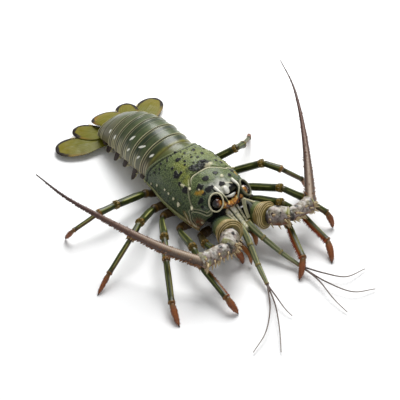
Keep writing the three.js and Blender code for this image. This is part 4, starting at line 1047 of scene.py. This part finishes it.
for ring in range(1, 7):
    front, rear = RING_EDGES[ring - 1] - RING_REACH, RING_EDGES[ring] + RING_REACH
    u_at = [np.linspace(-0.10 if ring > 1 else 0, 0.92, 46), np.linspace(0.925, 1, 12), [1.0, 1.0]]
    u, f = spread_out(np.concatenate(u_at), round_angles(AROUND) - np.pi)
    x = front + (rear - front) * u
    deg = np.abs(np.degrees(f))
    # the hind edge, by distance from it: a bead, a fold and a second bead, then the lines of the side flap
    back = 1 - smooth(98, 118, deg)
    flap = smooth(56, 78, deg)
    edge_mm = (1 - u) * (front - rear)
    bead, fold, second = hump(edge_mm, 0.7, 0.7), hump(edge_mm, 2.3, 0.7), hump(edge_mm, 4.0, 0.65)
    if ring == 1:
        cross = hump(u, 0.48, 0.05)
    else:
        cross = hump(u, 0.47 if ring < 6 else 0.52, 0.030) * smooth(0, 30, deg)
    relief = 0.45 * bead - 0.5 * fold + 0.25 * second - 0.55 * cross - 0.6 * flap * hump(edge_mm, 5.8, 1.1)
    over = RING_STEP * held(u) - 1.3 * smooth(0.0, -0.06, u) + relief * back
    over[-2] = over[-3] - 0.7
    over[-1] = over[-3] - 3.0
    skin = tail_point(x, f, over)
    white = 0 * u
    for x1, deg1, x2, deg2, half_width in WHITE_MARKS[ring]:
        for side in BOTH:
            ends = [tail_point(np.array(q), side * np.radians(d), 1.0) for q, d in ((x1, deg1), (x2, deg2))]
            gap, run = line_distance(skin, np.array(ends))
            uneven = 1 + 0.3 * mottle(skin, 1.6, 61)
            slender = half_width * (0.45 + 0.75 * np.sin(np.pi * held(run)))
            white = np.maximum(white, 1 - smooth(0.75, 1.25, gap * uneven / slender))
    side_grey = 0.62 * smooth(42, 88, deg) + 0.75 * smooth(-70, -135, x) * smooth(-15, 45, deg)
    flap_cream = 0.75 * flap * (hump(edge_mm, 7.8, 0.9) + hump(edge_mm, 11.4, 0.9))
    flap_dark = 1.1 * flap * (hump(edge_mm, 5.8, 1.0) + 0.8 * hump(edge_mm, 9.6, 0.9))
    gold_band = hump(x, -17.5, 3.2) + 0.25 * hump(x, -10, 3)
    hoop_shell = tube_shell(
        skin, white=white, belly=0.9 * smooth(108, 124, deg),
        lilac=held(side_grey * (1 + 0.35 * mottle(skin, 6, 62)) * back
                   - 0.6 * hump(u, 0.6, 0.16) * (ring < 5)),
        cream=held((0.8 * bead * (0.35 + 0.55 * smooth(0, 40, deg) + 0.2 * (ring < 3))
                    + 0.5 * second * (0.5 + 0.5 * smooth(20, 60, deg))
                    + 0.20 * hump(u, 0.51, 0.02) * (ring > 1) + flap_cream) * back
                   + 0.5 * hump(deg, 106, 4)),
        # the dark band at each ring's front, just behind the edge ahead of it, is painted shadow cast by that
        # edge
        dark=held((1.1 * fold + 0.6 * cross + 0.8 * smooth(0.10, 0.0, u) + flap_dark) * back
                  + 0.35 * (ring < 4) * hump(u, 0.72, 0.14) * smooth(75, 40, deg)),
        light=held(0.55 * hump(u, 0.22, 0.2) * (1 + 0.5 * mottle(skin, 8, 63)) * back),
        olive=held((gold_band * (ring == 1) + 0.35 * second * (ring < 3)) * back
                   * (1 + 0.5 * mottle(skin, 5, 64))),
        rust=held(0.5 * (ring == 1) * hump(deg, 82, 20) * smooth(0.3, 0.6, u)
                  + 0.25 * hump(deg, 96, 9) * back),
        brown=0.35 * (ring == 1) * hump(x, -26, 3.5) * smooth(10, 60, deg))
    shells = [hoop_shell] + side_spike(*SPIKES[ring], -1) + side_spike(*SPIKES[ring], 1)
    make_piece(f"tail_hoop_{ring}", shells, tail_paint, f"tail_ring_{ring}")


# ------------------------------------------------------------------- tail fan
# Five thin leaves of horn hinged under the last ring: the middle one and two pairs. Olive-yellow
# and green, finely ribbed lengthwise, with a brown-black hind rim and small cream knobs.
INNER = dict(neck=7, thick=2.2, ribs=6)
OUTER = dict(neck=8, thick=2.2, ribs=6)
# For each leaf, hind is the way across it in which its hind edge lies, or 0 for the middle one.
FAN = {
    "telson": dict(root=[-147, 2, 26], tip=[-197, 4, 11.5], half=22, neck=14, thick=2.6, ribs=7, hind=0),
    "fan_inner_right": dict(INNER, root=[-144, -11, 13.5], tip=[-193, -43.5, 9.2], half=16.5, hind=-1),
    "fan_inner_left": dict(INNER, root=[-144, 15, 13.5], tip=[-198, 51, 9.2], half=17, hind=1),
    "fan_outer_right": dict(OUTER, root=[-141, -18, 10], tip=[-173.5, -85.5, 6], half=20.3, hind=-1),
    "fan_outer_left": dict(OUTER, root=[-143, 22, 10], tip=[-185.5, 95, 6], half=19.5, hind=1),
}
p = Paint("fan_horn", "#565c06", Coat_Weight=0.05, Coat_Roughness=0.25, Specular_IOR_Level=0.2)
fine, cloud = p.noise(0.7, 3), p.noise(0.09, 4)
p.cover("#3a4e0c", "green")
p.cover("#786a06", p.mark("yellow") * (0.6 + 0.7 * cloud))
p.cover("#8a5016", "rust")
p.cover("#7c7018", p.mark("rib") * 0.3)
p.shade(0.66, 0.66, 0.6, cloud.between(0.5, 0.75) * 0.6)
p.cover("#1a0f08", "rim")
p.cover("#cdbf8c", "cream")
fan_horn = p.finish(0.33 + 0.2 * fine, fine, depth_mm=0.2, strength=0.4)


def leaf_piece(name, root, tip, half, neck, thick, ribs, hind):
    """A leaf from root to tip: it widens from its neck, ends round, thins toward the end, arches a little
    across, and carries fine ribs that fan out from the root."""
    root, tip = np.array(root, float), np.array(tip, float)
    middle_leaf = hind == 0
    length = np.linalg.norm(tip - root)
    ahead = (tip - root) / length
    across = np.cross([0, 0, 1], ahead)
    across /= np.linalg.norm(across)
    up = np.cross(ahead, across)
    u_at = np.concatenate([np.linspace(0, 0.9, 60), 1 - 0.1 * np.linspace(1, 0, 22)[1:] ** 1.8])
    u, f = spread_out(u_at, round_angles(160))
    end = np.sqrt(np.maximum(0.012, 1 - (np.maximum(0, u - 0.6) / 0.4035) ** 2.6))
    w = (neck + (half - neck) * smooth(0, 0.55, u)) * end
    h = thick / 2 * (1 - 0.45 * u)
    # q runs across the leaf, -1 to 1, and thin up and down through it
    q = np.sign(np.cos(f)) * np.abs(np.cos(f)) ** 0.8
    thin = np.abs(np.sin(f)) ** 0.75 * np.sign(np.sin(f))
    top_side = np.sin(f) > 0
    rib = np.cos(2 * np.pi * q * ribs) * smooth(0.02, 0.2, u) * (1 - smooth(0.9, 1, u))
    mid_rib = 0 if middle_leaf else hump(q, 0.0, 0.07) * (1 - smooth(0.75, 0.92, u))
    waves = mottle(np.stack([u * length, q * w, 0 * u], -1), 7, 71) * (1 - np.abs(q) ** 4)
    lift = (h * thin + 0.06 * w * (1 - q * q) + np.where(top_side, 0.16, -0.05) * rib * (1 - np.abs(q)) ** 0.3
            + np.where(top_side, 0.7, 0) * mid_rib * np.abs(thin) + 0.25 * waves)
    skin = root + ahead * (length * u)[..., None] + across * (w * q)[..., None] + up * lift[..., None]

    margin = np.minimum((1 - np.abs(q)) * w, (1 - u) * length * 1.1)
    band = 1 - smooth(1.8, 4.4, margin - 2.2 * smooth(0.3, 1, u))
    hind_part = smooth(-0.2, 0.6, -(across[0] * q * (1 - u) + ahead[0] * smooth(0.6, 1, u) * 1.3) * 1.2)
    uneven = 1 + 0.5 * mottle(skin, 4, 72)
    rust_edge = (1 - smooth(0.5, 5.0, margin)) * smooth(0.3, 0.7, u) * (0.8 if middle_leaf else 0.4)
    rust_corner = 0.8 * middle_leaf * smooth(0.55, 0.95, u) * smooth(0.1, 0.8, q if across[1] < 0 else -q)
    leaf = tube_shell(
        skin, end_share=1, rim=held(band * hind_part * uneven * smooth(0.2, 0.45, u) * 1.5),
        green=(held(0.8 * (1 - smooth(0.35, 0.95, u)) + 0.5 * hump(q, 0.2 * hind, 0.4))
               * (0.4 if middle_leaf else 0.9)),
        yellow=held(0.55 + 0.5 * smooth(0.5, 1, u)) * (0.9 if middle_leaf else 0.75),
        rib=0.5 + 0.5 * rib * (1 - smooth(0.85, 1, u)),
        rust=held(rust_edge + rust_corner), cream=0.5 * (1 - smooth(0.0, 0.10, u)))

    # the knobs on the hind edge where the hard part of the leaf ends, and the spines at its root
    shells = [leaf]
    if hind:
        seat = root + ahead * length * 0.62 + across * hind * (neck + (half - neck) * 0.97) * 0.93 + up * 0.6
        knobs = np.array([seat, seat + ahead * 3.0])
        shells.append(thorns(knobs, np.tile(ahead + up * 0.5, (2, 1)), 3.0, 1.3, 8, cream=0.95))
    row = across * (np.linspace(-0.7, 0.7, 5) * neck)[:, None]
    shells.append(thorns(root + ahead * length * 0.10 + row + up * (thick / 2 + 0.4),
                         np.tile(ahead + up * 0.6, (5, 1)), 2.6, 0.9, 7, cream=0.85))
    make_piece(name + "_leaf", shells, fan_horn, name)


for name, sizes in FAN.items():
    leaf_piece(name, **sizes)


# --------------------------------------------------------------- walking legs
# Ten jointed legs of hard tube: a brown hip, a long dark-green thigh with pale stripes, a short
# wrist and a shin, each ending in a golden collar with small points, and a rust-brown claw
# fringed with bristles.
LEGS = {
    "right_1": [[88, -40, 13], [113, -52.5, 24.5], [127, -50.8, 25.2], [143, -30, 25], [149, -22, 0]],
    "right_2": [[62, -52, 14], [117, -75, 34.7], [142, -80, 24], [193, -84.5, 17], [210, -80, 0]],
    "right_3": [[31, -54, 14], [82.5, -92, 35.5], [109.5, -109.5, 28.7], [159, -139, 14], [184, -147, 0]],
    "right_4": [[13, -56, 14], [44, -101, 37], [57, -125, 32], [74, -169, 14], [84, -193, 0]],
    "right_5": [[-14, -50, 18], [-8, -101, 30], [-9, -126, 29], [-11, -163, 19], [-22, -169, 0]],
    "left_1": [[88, 40, 13], [124, 53, 26], [150, 50, 24], [199, 30, 18], [212, 13, 0]],
    "left_2": [[68, 50, 12.5], [130, 54, 46.6], [145, 75, 26.5], [193, 76.5, 15.5], [215, 65, 0]],
    "left_3": [[40, 50, 12.5], [113.5, 68, 52], [131, 90, 36], [158, 108, 20], [169, 110, 0]],
    "left_4": [[12, 50, 13.5], [63, 81, 53], [84, 94, 50], [95, 122, 26], [89, 136, 0]],
    "left_5": [[-14, 50, 17], [7, 83, 41], [-3, 104, 31], [-23, 132, 16], [-45, 151, 0]],
}
HIP_R, THIGH_R, WRIST_R = 5.4, 5.0, 4.5
SHIN_R = [4.0, 3.9, 3.8, 3.1, 2.7]    # front pair to hind pair
CLAW_R = [4.0, 4.2, 3.9, 3.0, 2.8]
FRINGED = ("left_1", "left_2", "right_2")
SLIM_HIPPED = ("right_1", "right_2", "right_3")
THIGH_AT = [0, 0.16, 0.27, 0.36, 0.41, 0.55, 0.86, 0.945, 0.96, 1.0]
THIGH_POINTS, SHIN_POINTS, FRINGE_HAIRS, CLAW_HAIRS = 11, 9, 260, 340

p = Paint("leg_shell", "#343c10", Coat_Weight=0.1, Coat_Roughness=0.2, Specular_IOR_Level=0.28)
fine = p.noise(0.6, 3)
p.cover("#191f05", p.noise(0.1, 3).between(0.4, 0.7))
p.cover("#646e22", p.mark("pale") * (0.75 + 0.3 * fine))
p.cover("#c8c686", "stripe")
p.cover("#3f2c14", p.mark("brown") * (0.7 + 0.5 * fine))
p.cover("#8c6a20", p.mark("gold") * (0.7 + 0.5 * fine))
p.cover("#b0a57e", p.mark("tip") * 0.8)
p.cover("#8f3f1c", "rust")
p.cover("#1d150c", "dark")
leg_paint = p.finish(0.3 + 0.2 * fine, fine, depth_mm=0.25, strength=0.5)
p = Paint("claw_horn", "#80400a", Coat_Weight=0.2, Coat_Roughness=0.2)
fine = p.noise(0.7, 3)
p.cover("#4a3f10", "root")
p.cover("#b86c20", fine.between(0.5, 0.75) * 0.6)
p.cover("#3a1d10", "hair")
p.cover("#2a150c", "point")
claw_horn = p.finish(0.4 + 0.2 * fine, fine, depth_mm=0.2, strength=0.4)


def stripes(s, a, low, high):
    """Pale stripes that run along a tube near its top and its lower flank, fading toward its ends."""
    lines = (hump(a, np.pi * 0.5 + 0.55, 0.17) + 0.8 * hump(a, np.pi * 0.5 - 0.75, 0.15)
             + 0.7 * hump(a, np.pi * 1.42, 0.2))
    return lines * smooth(low, low + 0.08, s) * (1 - smooth(high - 0.06, high, s))


def leg_ridges(a):
    """Shallow lengthwise ridges of a leg's tube: two waves about it."""
    return 0.16 * np.cos(5 * a + 0.6) + 0.10 * np.cos(3 * a)


def crown(way, s, radius, lengths, thick, lean, gold):
    """A ring of small points round a leg's collar, leaning outwards, with a length for each."""
    count = len(lengths)
    foot, out, ahead = limb_seats(way, np.full(count, s), round_angles(count), radius)
    return thorns(foot, out * lean + ahead, lengths, thick, 7, gold=gold)


for name, (hip, knee, wrist, ankle, tip) in LEGS.items():
    hip, knee, wrist, ankle, tip = (np.array(q, float) for q in (hip, knee, wrist, ankle, tip))
    pair = int(name[-1]) - 1
    side, shin_r, claw_r = np.sign(hip[1]), SHIN_R[pair], CLAW_R[pair]
    rng = np.random.default_rng(sum(map(ord, name)))

    # hip and thigh
    way = [[hip[0] - (2 if pair == 0 else 0), side * 24, 13.5], [hip[0], side * 39, 13], hip, knee]
    slim = 0.72 if name in SLIM_HIPPED else 1.0
    hip_joint = [HIP_R * slim, 4.4 * slim]
    knee_end = [THIGH_R, THIGH_R * 0.98, THIGH_R * 1.14, THIGH_R * 1.12]
    s = np.concatenate([np.linspace(0, 1, 110), np.linspace(0.30, 0.45, 24), np.linspace(0.85, 1, 24)])
    s = np.unique(s)
    w = np.interp(s, THIGH_AT, [5.6, 6.6, 5.6] + hip_joint + [THIGH_R * (0.25 + 0.75 * slim)] + knee_end)
    h = np.interp(s, THIGH_AT, [5.2, 5.6, 4.6] + hip_joint + [THIGH_R * (0.3 + 0.75 * slim)] + knee_end)
    # the foremost right thigh is painted dark brown all along: painted shade under the shield
    under_shield_shade = 0.75 * (name == "right_1")
    thigh = limb(way, s, w, h, 32,
                 relief=lambda s, a, L: (leg_ridges(a) * smooth(0.38, 0.5, s) - 0.5 * hump(s, 0.40, 0.012)
                                         + 0.35 * hump(s, 0.34, 0.02) - 0.4 * hump(s, 0.94, 0.008)
                                         - 0.5 * hump(s, 0.2, 0.015)),
                 brown=lambda s, a, L: np.maximum(1 - smooth(0.36, 0.44, s), under_shield_shade),
                 pale=lambda s, a, L: 0.9 * stripes(s, a, 0.42, 0.92),
                 stripe=lambda s, a, L: 0.75 * stripes(s, a, 0.45, 0.9) ** 3,
                 gold=lambda s, a, L: (0.8 * smooth(0.94, 0.955, s) * (0.6 + 0.4 * np.cos(6 * a))
                                       + 0.35 * hump(s, 0.345, 0.02)),
                 dark=lambda s, a, L: (0.75 * hump(s, 0.402, 0.012) + 0.75 * hump(s, 0.938, 0.006)
                                       + 0.5 * hump(s, 0.2, 0.012) + 0.4 * hump(s, 0.975, 0.005)))
    points = crown(way, 0.985, THIGH_R * 1.02, rng.uniform(2.4, 4.0, THIGH_POINTS), 0.8, 0.3, 0.6)
    make_piece(f"leg_{name}_thigh", [thigh, points], leg_paint, f"leg_{name}_upper")

    # wrist and shin, with a fringe of hair along the inner side of the longest ones
    wrist_length, shin_length = np.linalg.norm(wrist - knee), np.linalg.norm(ankle - wrist)
    joint = wrist_length / (wrist_length + shin_length)
    way = [knee, knee + (wrist - knee) * 0.6, wrist, wrist + (ankle - wrist) * 0.45, ankle]
    at = [0, 0.05, joint * 0.75, joint * 0.95, joint * 1.06, joint + (1 - joint) * 0.4, 0.93, 1]
    s = np.unique(np.concatenate([np.linspace(0, 1, 110), np.linspace(joint * 0.88, joint * 1.12, 26)]))
    wrist_end = [THIGH_R * 0.5, THIGH_R * 0.8, WRIST_R, WRIST_R * 1.14, shin_r]
    w = np.interp(s, at, wrist_end + [shin_r * 1.06, shin_r, shin_r * 1.18])
    h = np.interp(s, at, wrist_end + [shin_r * 1.02, shin_r, shin_r * 1.14])
    fringe = 0.9 if name in FRINGED else 0.15
    shin = limb(way, s, w, h, 28,
                relief=lambda s, a, L: (leg_ridges(a) * 0.8 * (1 - hump(s, joint, 0.05))
                                        + 0.35 * hump(s, joint * 0.97, 0.012)
                                        - 0.5 * hump(s, joint * 1.045, 0.010) + 0.3 * hump(s, 0.985, 0.012)),
                pale=lambda s, a, L: 0.9 * (stripes(s, a, 0.04, joint) + stripes(s, a, joint * 1.1, 0.95)),
                stripe=lambda s, a, L: 0.7 * (stripes(s, a, 0.05, joint)
                                              + stripes(s, a, joint * 1.1, 0.93)) ** 3,
                gold=lambda s, a, L: (0.75 * hump(s, joint * 0.97, 0.022) + 0.35 * smooth(0.97, 0.985, s)
                                      + 0.2 * (1 - smooth(0.02, 0.06, s))),
                rust=lambda s, a, L: held(fringe * smooth(joint * 1.1, joint * 1.3, s)
                                          * smooth(0.1, 0.9, np.cos(a + 0.15) * side)
                                          + 0.3 * smooth(0.97, 1, s) + 0.35 * hump(s, joint, 0.03)),
                dark=lambda s, a, L: (0.8 * hump(s, joint * 1.05, 0.010) + 0.5 * (1 - smooth(0.0, 0.03, s))
                                      + 0.8 * hump(s, 0.96, 0.01)))
    shells = [shin, crown(way, joint * 0.99, WRIST_R, rng.uniform(2.0, 3.2, SHIN_POINTS), 0.7, 0.35, 0.5)]
    if name in FRINGED:
        seat_s = rng.uniform(joint * 1.2, 0.99, FRINGE_HAIRS)
        seat_a = rng.normal(-0.15 if side > 0 else np.pi + 0.15, 0.3, FRINGE_HAIRS)
        foot, out, ahead = limb_seats(way, seat_s, seat_a, shin_r)
        shells.append(thorns(foot, out + ahead * 0.5, rng.uniform(1.8, 3.4, FRINGE_HAIRS), 0.2, 4, rust=1.0))
    make_piece(f"leg_{name}_shin", shells, leg_paint, f"leg_{name}_shank")

    # claw: a tapering hook with its bristles, its point resting on the floor
    bend = (ankle + tip) / 2 + (ankle - wrist) / shin_length * 2.2
    way = [ankle, bend, tip + [0, 0, 0.4]]
    s = np.linspace(-0.04, 1.0, 60)
    r = np.interp(s, [-0.04, 0.06, 0.35, 0.7, 1.0], [shin_r * 0.6, shin_r * 0.9, claw_r, claw_r * 0.76, 0.4])
    hook = limb(way, s, r, r * 1.04, 22, relief=lambda s, a, L: 0.10 * np.cos(6 * a),
                root=lambda s, a, L: 0.8 * (1 - smooth(0.0, 0.35, s)),
                point=lambda s, a, L: smooth(0.86, 0.97, s))
    seat_s = rng.uniform(0.10, 0.86, CLAW_HAIRS)
    seat_a = rng.uniform(0, 2 * np.pi, CLAW_HAIRS)
    foot, out, ahead = limb_seats(way, seat_s, seat_a, np.interp(seat_s, s, r) * 0.9)
    size = rng.uniform(1.6, 3.6, CLAW_HAIRS) * (1.1 - 0.5 * seat_s)
    lean = out * 0.55 + ahead
    clear = foot[:, 2] + lean[:, 2] * size > 0.3
    hair = rng.uniform(0, 1, CLAW_HAIRS)
    bristles = thorns(foot[clear], lean[clear], size[clear], 0.17, 4, hair=hair[clear])
    make_piece(f"leg_{name}_hook", [hook, bristles], claw_horn, f"leg_{name}_claw")


# ---------------------------------------------------------- feelers and palps
# Between the antennae two slim olive stalks of three joints, each ending in three fine hairs that
# lie on the floor, and below them the two rust-tipped palps that close the mouth.
FEELER_STALK = np.array([[122, 6.0, 35], [136, 7.5, 30], [171, 18, 15], [198, 26, 7.5]])
FEELER_KNUCKLES = (0.0, 0.333, 0.667, 1.0)
FEELERS = {
    "right": [[[233, -52, 9], [256, -79, 7], [267, -106, 3]], [[231, -42, 9], [260, -61, 7], [286, -81, 3]],
              [[221, -32, 9], [241, -35, 6], [252, -34, 3]]],
    "left": [[[228, 40, 9], [246, 57, 7], [248, 88, 3]], [[238, 31, 9], [269, 46, 7], [280, 74, 3]],
             [[231, 26, 9], [264, 21, 6], [287, 21, 3]]],
}
FEELER_R, FEELER_RINGS = 0.68, 1.6
PALPS = {"right": [[104, -12, 16], [128, -14, 17], [152, -15, 15], [158, -16, 3]],
         "left": [[104, 12, 16], [118, 13, 17], [131, 12, 14], [136, 10.5, 3]]}
p = Paint("feeler_shell", "#56603a", Coat_Weight=0.25, Coat_Roughness=0.2)
fine = p.noise(0.7, 3)
p.cover("#38421f", fine.between(0.4, 0.7))
p.cover("#bdb989", "stripe")
p.cover("#8c7a3e", "gold")
p.cover("#7d4a2a", "rust")
p.cover("#241c10", "dark")
feeler_paint = p.finish(0.36 + 0.15 * fine, fine, depth_mm=0.2, strength=0.4)
p = Paint("feeler_hair", "#4e3a2e", Coat_Weight=0.1)
run = p.mark("run")
p.cover("#8d837c", run.between(0.3, 0.95))
p.shade(0.5, 0.42, 0.4, p.mark("joint"))
hair_paint = p.finish(0.5 + 0.1 * run)
p = Paint("palp_shell", "#5f5a30", Coat_Weight=0.25, Coat_Roughness=0.2)
fine = p.noise(0.5, 3)
p.cover("#9a5a24", p.mark("rust") * (0.6 + 0.6 * fine))
p.cover("#3d1d0d", "point")
palp_paint = p.finish(0.36 + 0.2 * fine, fine, depth_mm=0.25, strength=0.5)


def knuckles(s, places, width):
    """A bell at each of the places along a stalk."""
    return sum(hump(s, place, width) for place in places)


for side, word in zip(BOTH, ("right", "left")):
    way = FEELER_STALK * [1, side, 1]
    s = np.linspace(0, 1, 150)
    r = along([0, 0.25, 0.7, 1], [4.6, 4.2, 3.4, 2.5], s) * 0.96
    stalk = limb(way, s, r, r, 24,
                 relief=lambda s, a, L: (0.45 * knuckles(s, FEELER_KNUCKLES, 0.018)
                                         - 0.35 * knuckles(s, (0.36, 0.69), 0.008) + 0.12 * np.cos(4 * a)),
                 stripe=lambda s, a, L: (held(0.85 * hump(a, np.pi * 0.5 + 0.45, 0.22)
                                              + 0.7 * hump(a, np.pi * 0.5 - 0.7, 0.18)
                                              + 0.5 * hump(a, 4.4, 0.25))
                                         * (1 - knuckles(s, FEELER_KNUCKLES, 0.018))),
                 gold=lambda s, a, L: 0.8 * knuckles(s, FEELER_KNUCKLES, 0.018),
                 rust=lambda s, a, L: 0.75 * smooth(0.72, 1, s) * smooth(0.9, -0.4, np.sin(a)),
                 dark=lambda s, a, L: 0.8 * knuckles(s, (0.36, 0.695), 0.008))
    make_piece(f"feeler_{word}_shaft", [stalk], feeler_paint, f"feeler_{word}_stalk")

    # the knot at the stalk's end and the three ringed hairs that spring from it
    last_joint = way[3] - way[2]
    knot = way[3] + last_joint / np.linalg.norm(last_joint) * 1.6
    shells = [ball_shell(knot, 1.9, 12, 18, run=0.0)]
    s = np.linspace(0, 1, 260)
    r = FEELER_R * (1.6 - 0.8 * s)
    for path in FEELERS[word]:
        shells.append(limb([knot] + path, s, r, r, 8, run=lambda s, a, L: s,
                           relief=lambda s, a, L: 0.07 * rings(s, L, FEELER_RINGS),
                           joint=lambda s, a, L: 0.6 * smooth(0.1, -0.8, rings(s, L, FEELER_RINGS))))
    make_piece(f"feeler_{word}_threads", shells, hair_paint, f"feeler_{word}_hairs")

    s = np.linspace(0, 1, 80)
    r = along([0, 0.4, 0.8, 1], [5.2, 4.4, 3.4, 1.4], s) * (1 - 0.55 * smooth(0.93, 1, s))
    finger = limb(PALPS[word], s, r * 0.85, r, 26,
                  relief=lambda s, a, L: (0.15 * np.cos(4 * a) - 0.35 * hump(s, 0.55, 0.02)
                                          - 0.3 * hump(s, 0.8, 0.02)),
                  rust=lambda s, a, L: 0.25 + 0.75 * smooth(0.35, 0.75, s),
                  point=lambda s, a, L: 0.8 * smooth(0.9, 1, s) + 0.6 * hump(s, 0.55, 0.015))
    make_piece(f"palp_{word}_finger", [finger], palp_paint, f"palp_{word}")


# -------------------------------------------------------------- floor and light
# A plain pale sweep under the animal, lit by one broad soft panel above the head side and a
# weaker one opposite, as in a light tent.
FLOOR_RADIUS, FLOOR_DROP, FLOOR_RINGS, FLOOR_SIDES = 6.0, 0.0002, 40, 96
u, f = spread_out(np.linspace(0, FLOOR_RADIUS, FLOOR_RINGS), round_angles(FLOOR_SIDES))
floor_points = np.stack([u * np.cos(f), u * np.sin(f), 0 * u - FLOOR_DROP], -1).reshape(-1, 3)
floor_faces = sheet_faces(FLOOR_RINGS, FLOOR_SIDES, turned=True, wrap=True)
floor_mesh = bpy.data.meshes.new("floor")
floor_mesh.from_pydata(floor_points.tolist(), [], floor_faces.tolist())
p = Paint("white_sweep")
p.base = p.mix((0.93, 0.93, 0.925, 1), (0.90, 0.90, 0.90, 1), p.noise(0.004, 2))
floor_mesh.materials.append(p.finish(0.62))
floor = bpy.data.objects.new("floor", floor_mesh)
bpy.context.scene.collection.objects.link(floor)


def panel(name, place, size, watts):
    """A square soft light at a place, turned to face the animal."""
    data = bpy.data.lights.new(name, "AREA")
    data.shape = "SQUARE"
    data.size = size
    data.energy = watts
    lamp = bpy.data.objects.new(name, data)
    lamp.location = place
    lamp.rotation_euler = (Vector(place) - Vector((0, 0, 0.03))).to_track_quat("Z", "Y").to_euler()
    bpy.context.scene.collection.objects.link(lamp)


panel("softbox_key", (-0.72, 0.78, 1.42), 1.15, 42)
panel("softbox_fill", (1.3, -0.5, 0.9), 1.0, 3)
world = bpy.data.worlds.new("tent")
world.use_nodes = True
tent = world.node_tree.nodes["Background"]
tent.inputs["Color"].default_value = (0.97, 0.985, 1.0, 1)
tent.inputs["Strength"].default_value = 0.36
bpy.context.scene.world = world
bpy.context.scene.view_settings.view_transform = "Standard"

# The camera looks down at the animal from beyond its right cheek.
AZIMUTH, ELEVATION, DISTANCE = np.radians(52.3), np.radians(40.8), 1488.5
camera_data = bpy.data.cameras.new("camera")
camera_data.lens, camera_data.sensor_width = 102.08, 36
camera_data.shift_x, camera_data.shift_y = 0.043, -0.0145
camera = bpy.data.objects.new("camera", camera_data)
back = Vector((np.sin(AZIMUTH) * np.cos(ELEVATION), -np.cos(AZIMUTH) * np.cos(ELEVATION), np.sin(ELEVATION)))
camera.location = Vector(CENTRE / 1000) + back * DISTANCE / 1000
camera.rotation_euler = back.to_track_quat("Z", "Y").to_euler()
bpy.context.scene.collection.objects.link(camera)
bpy.context.scene.camera = camera
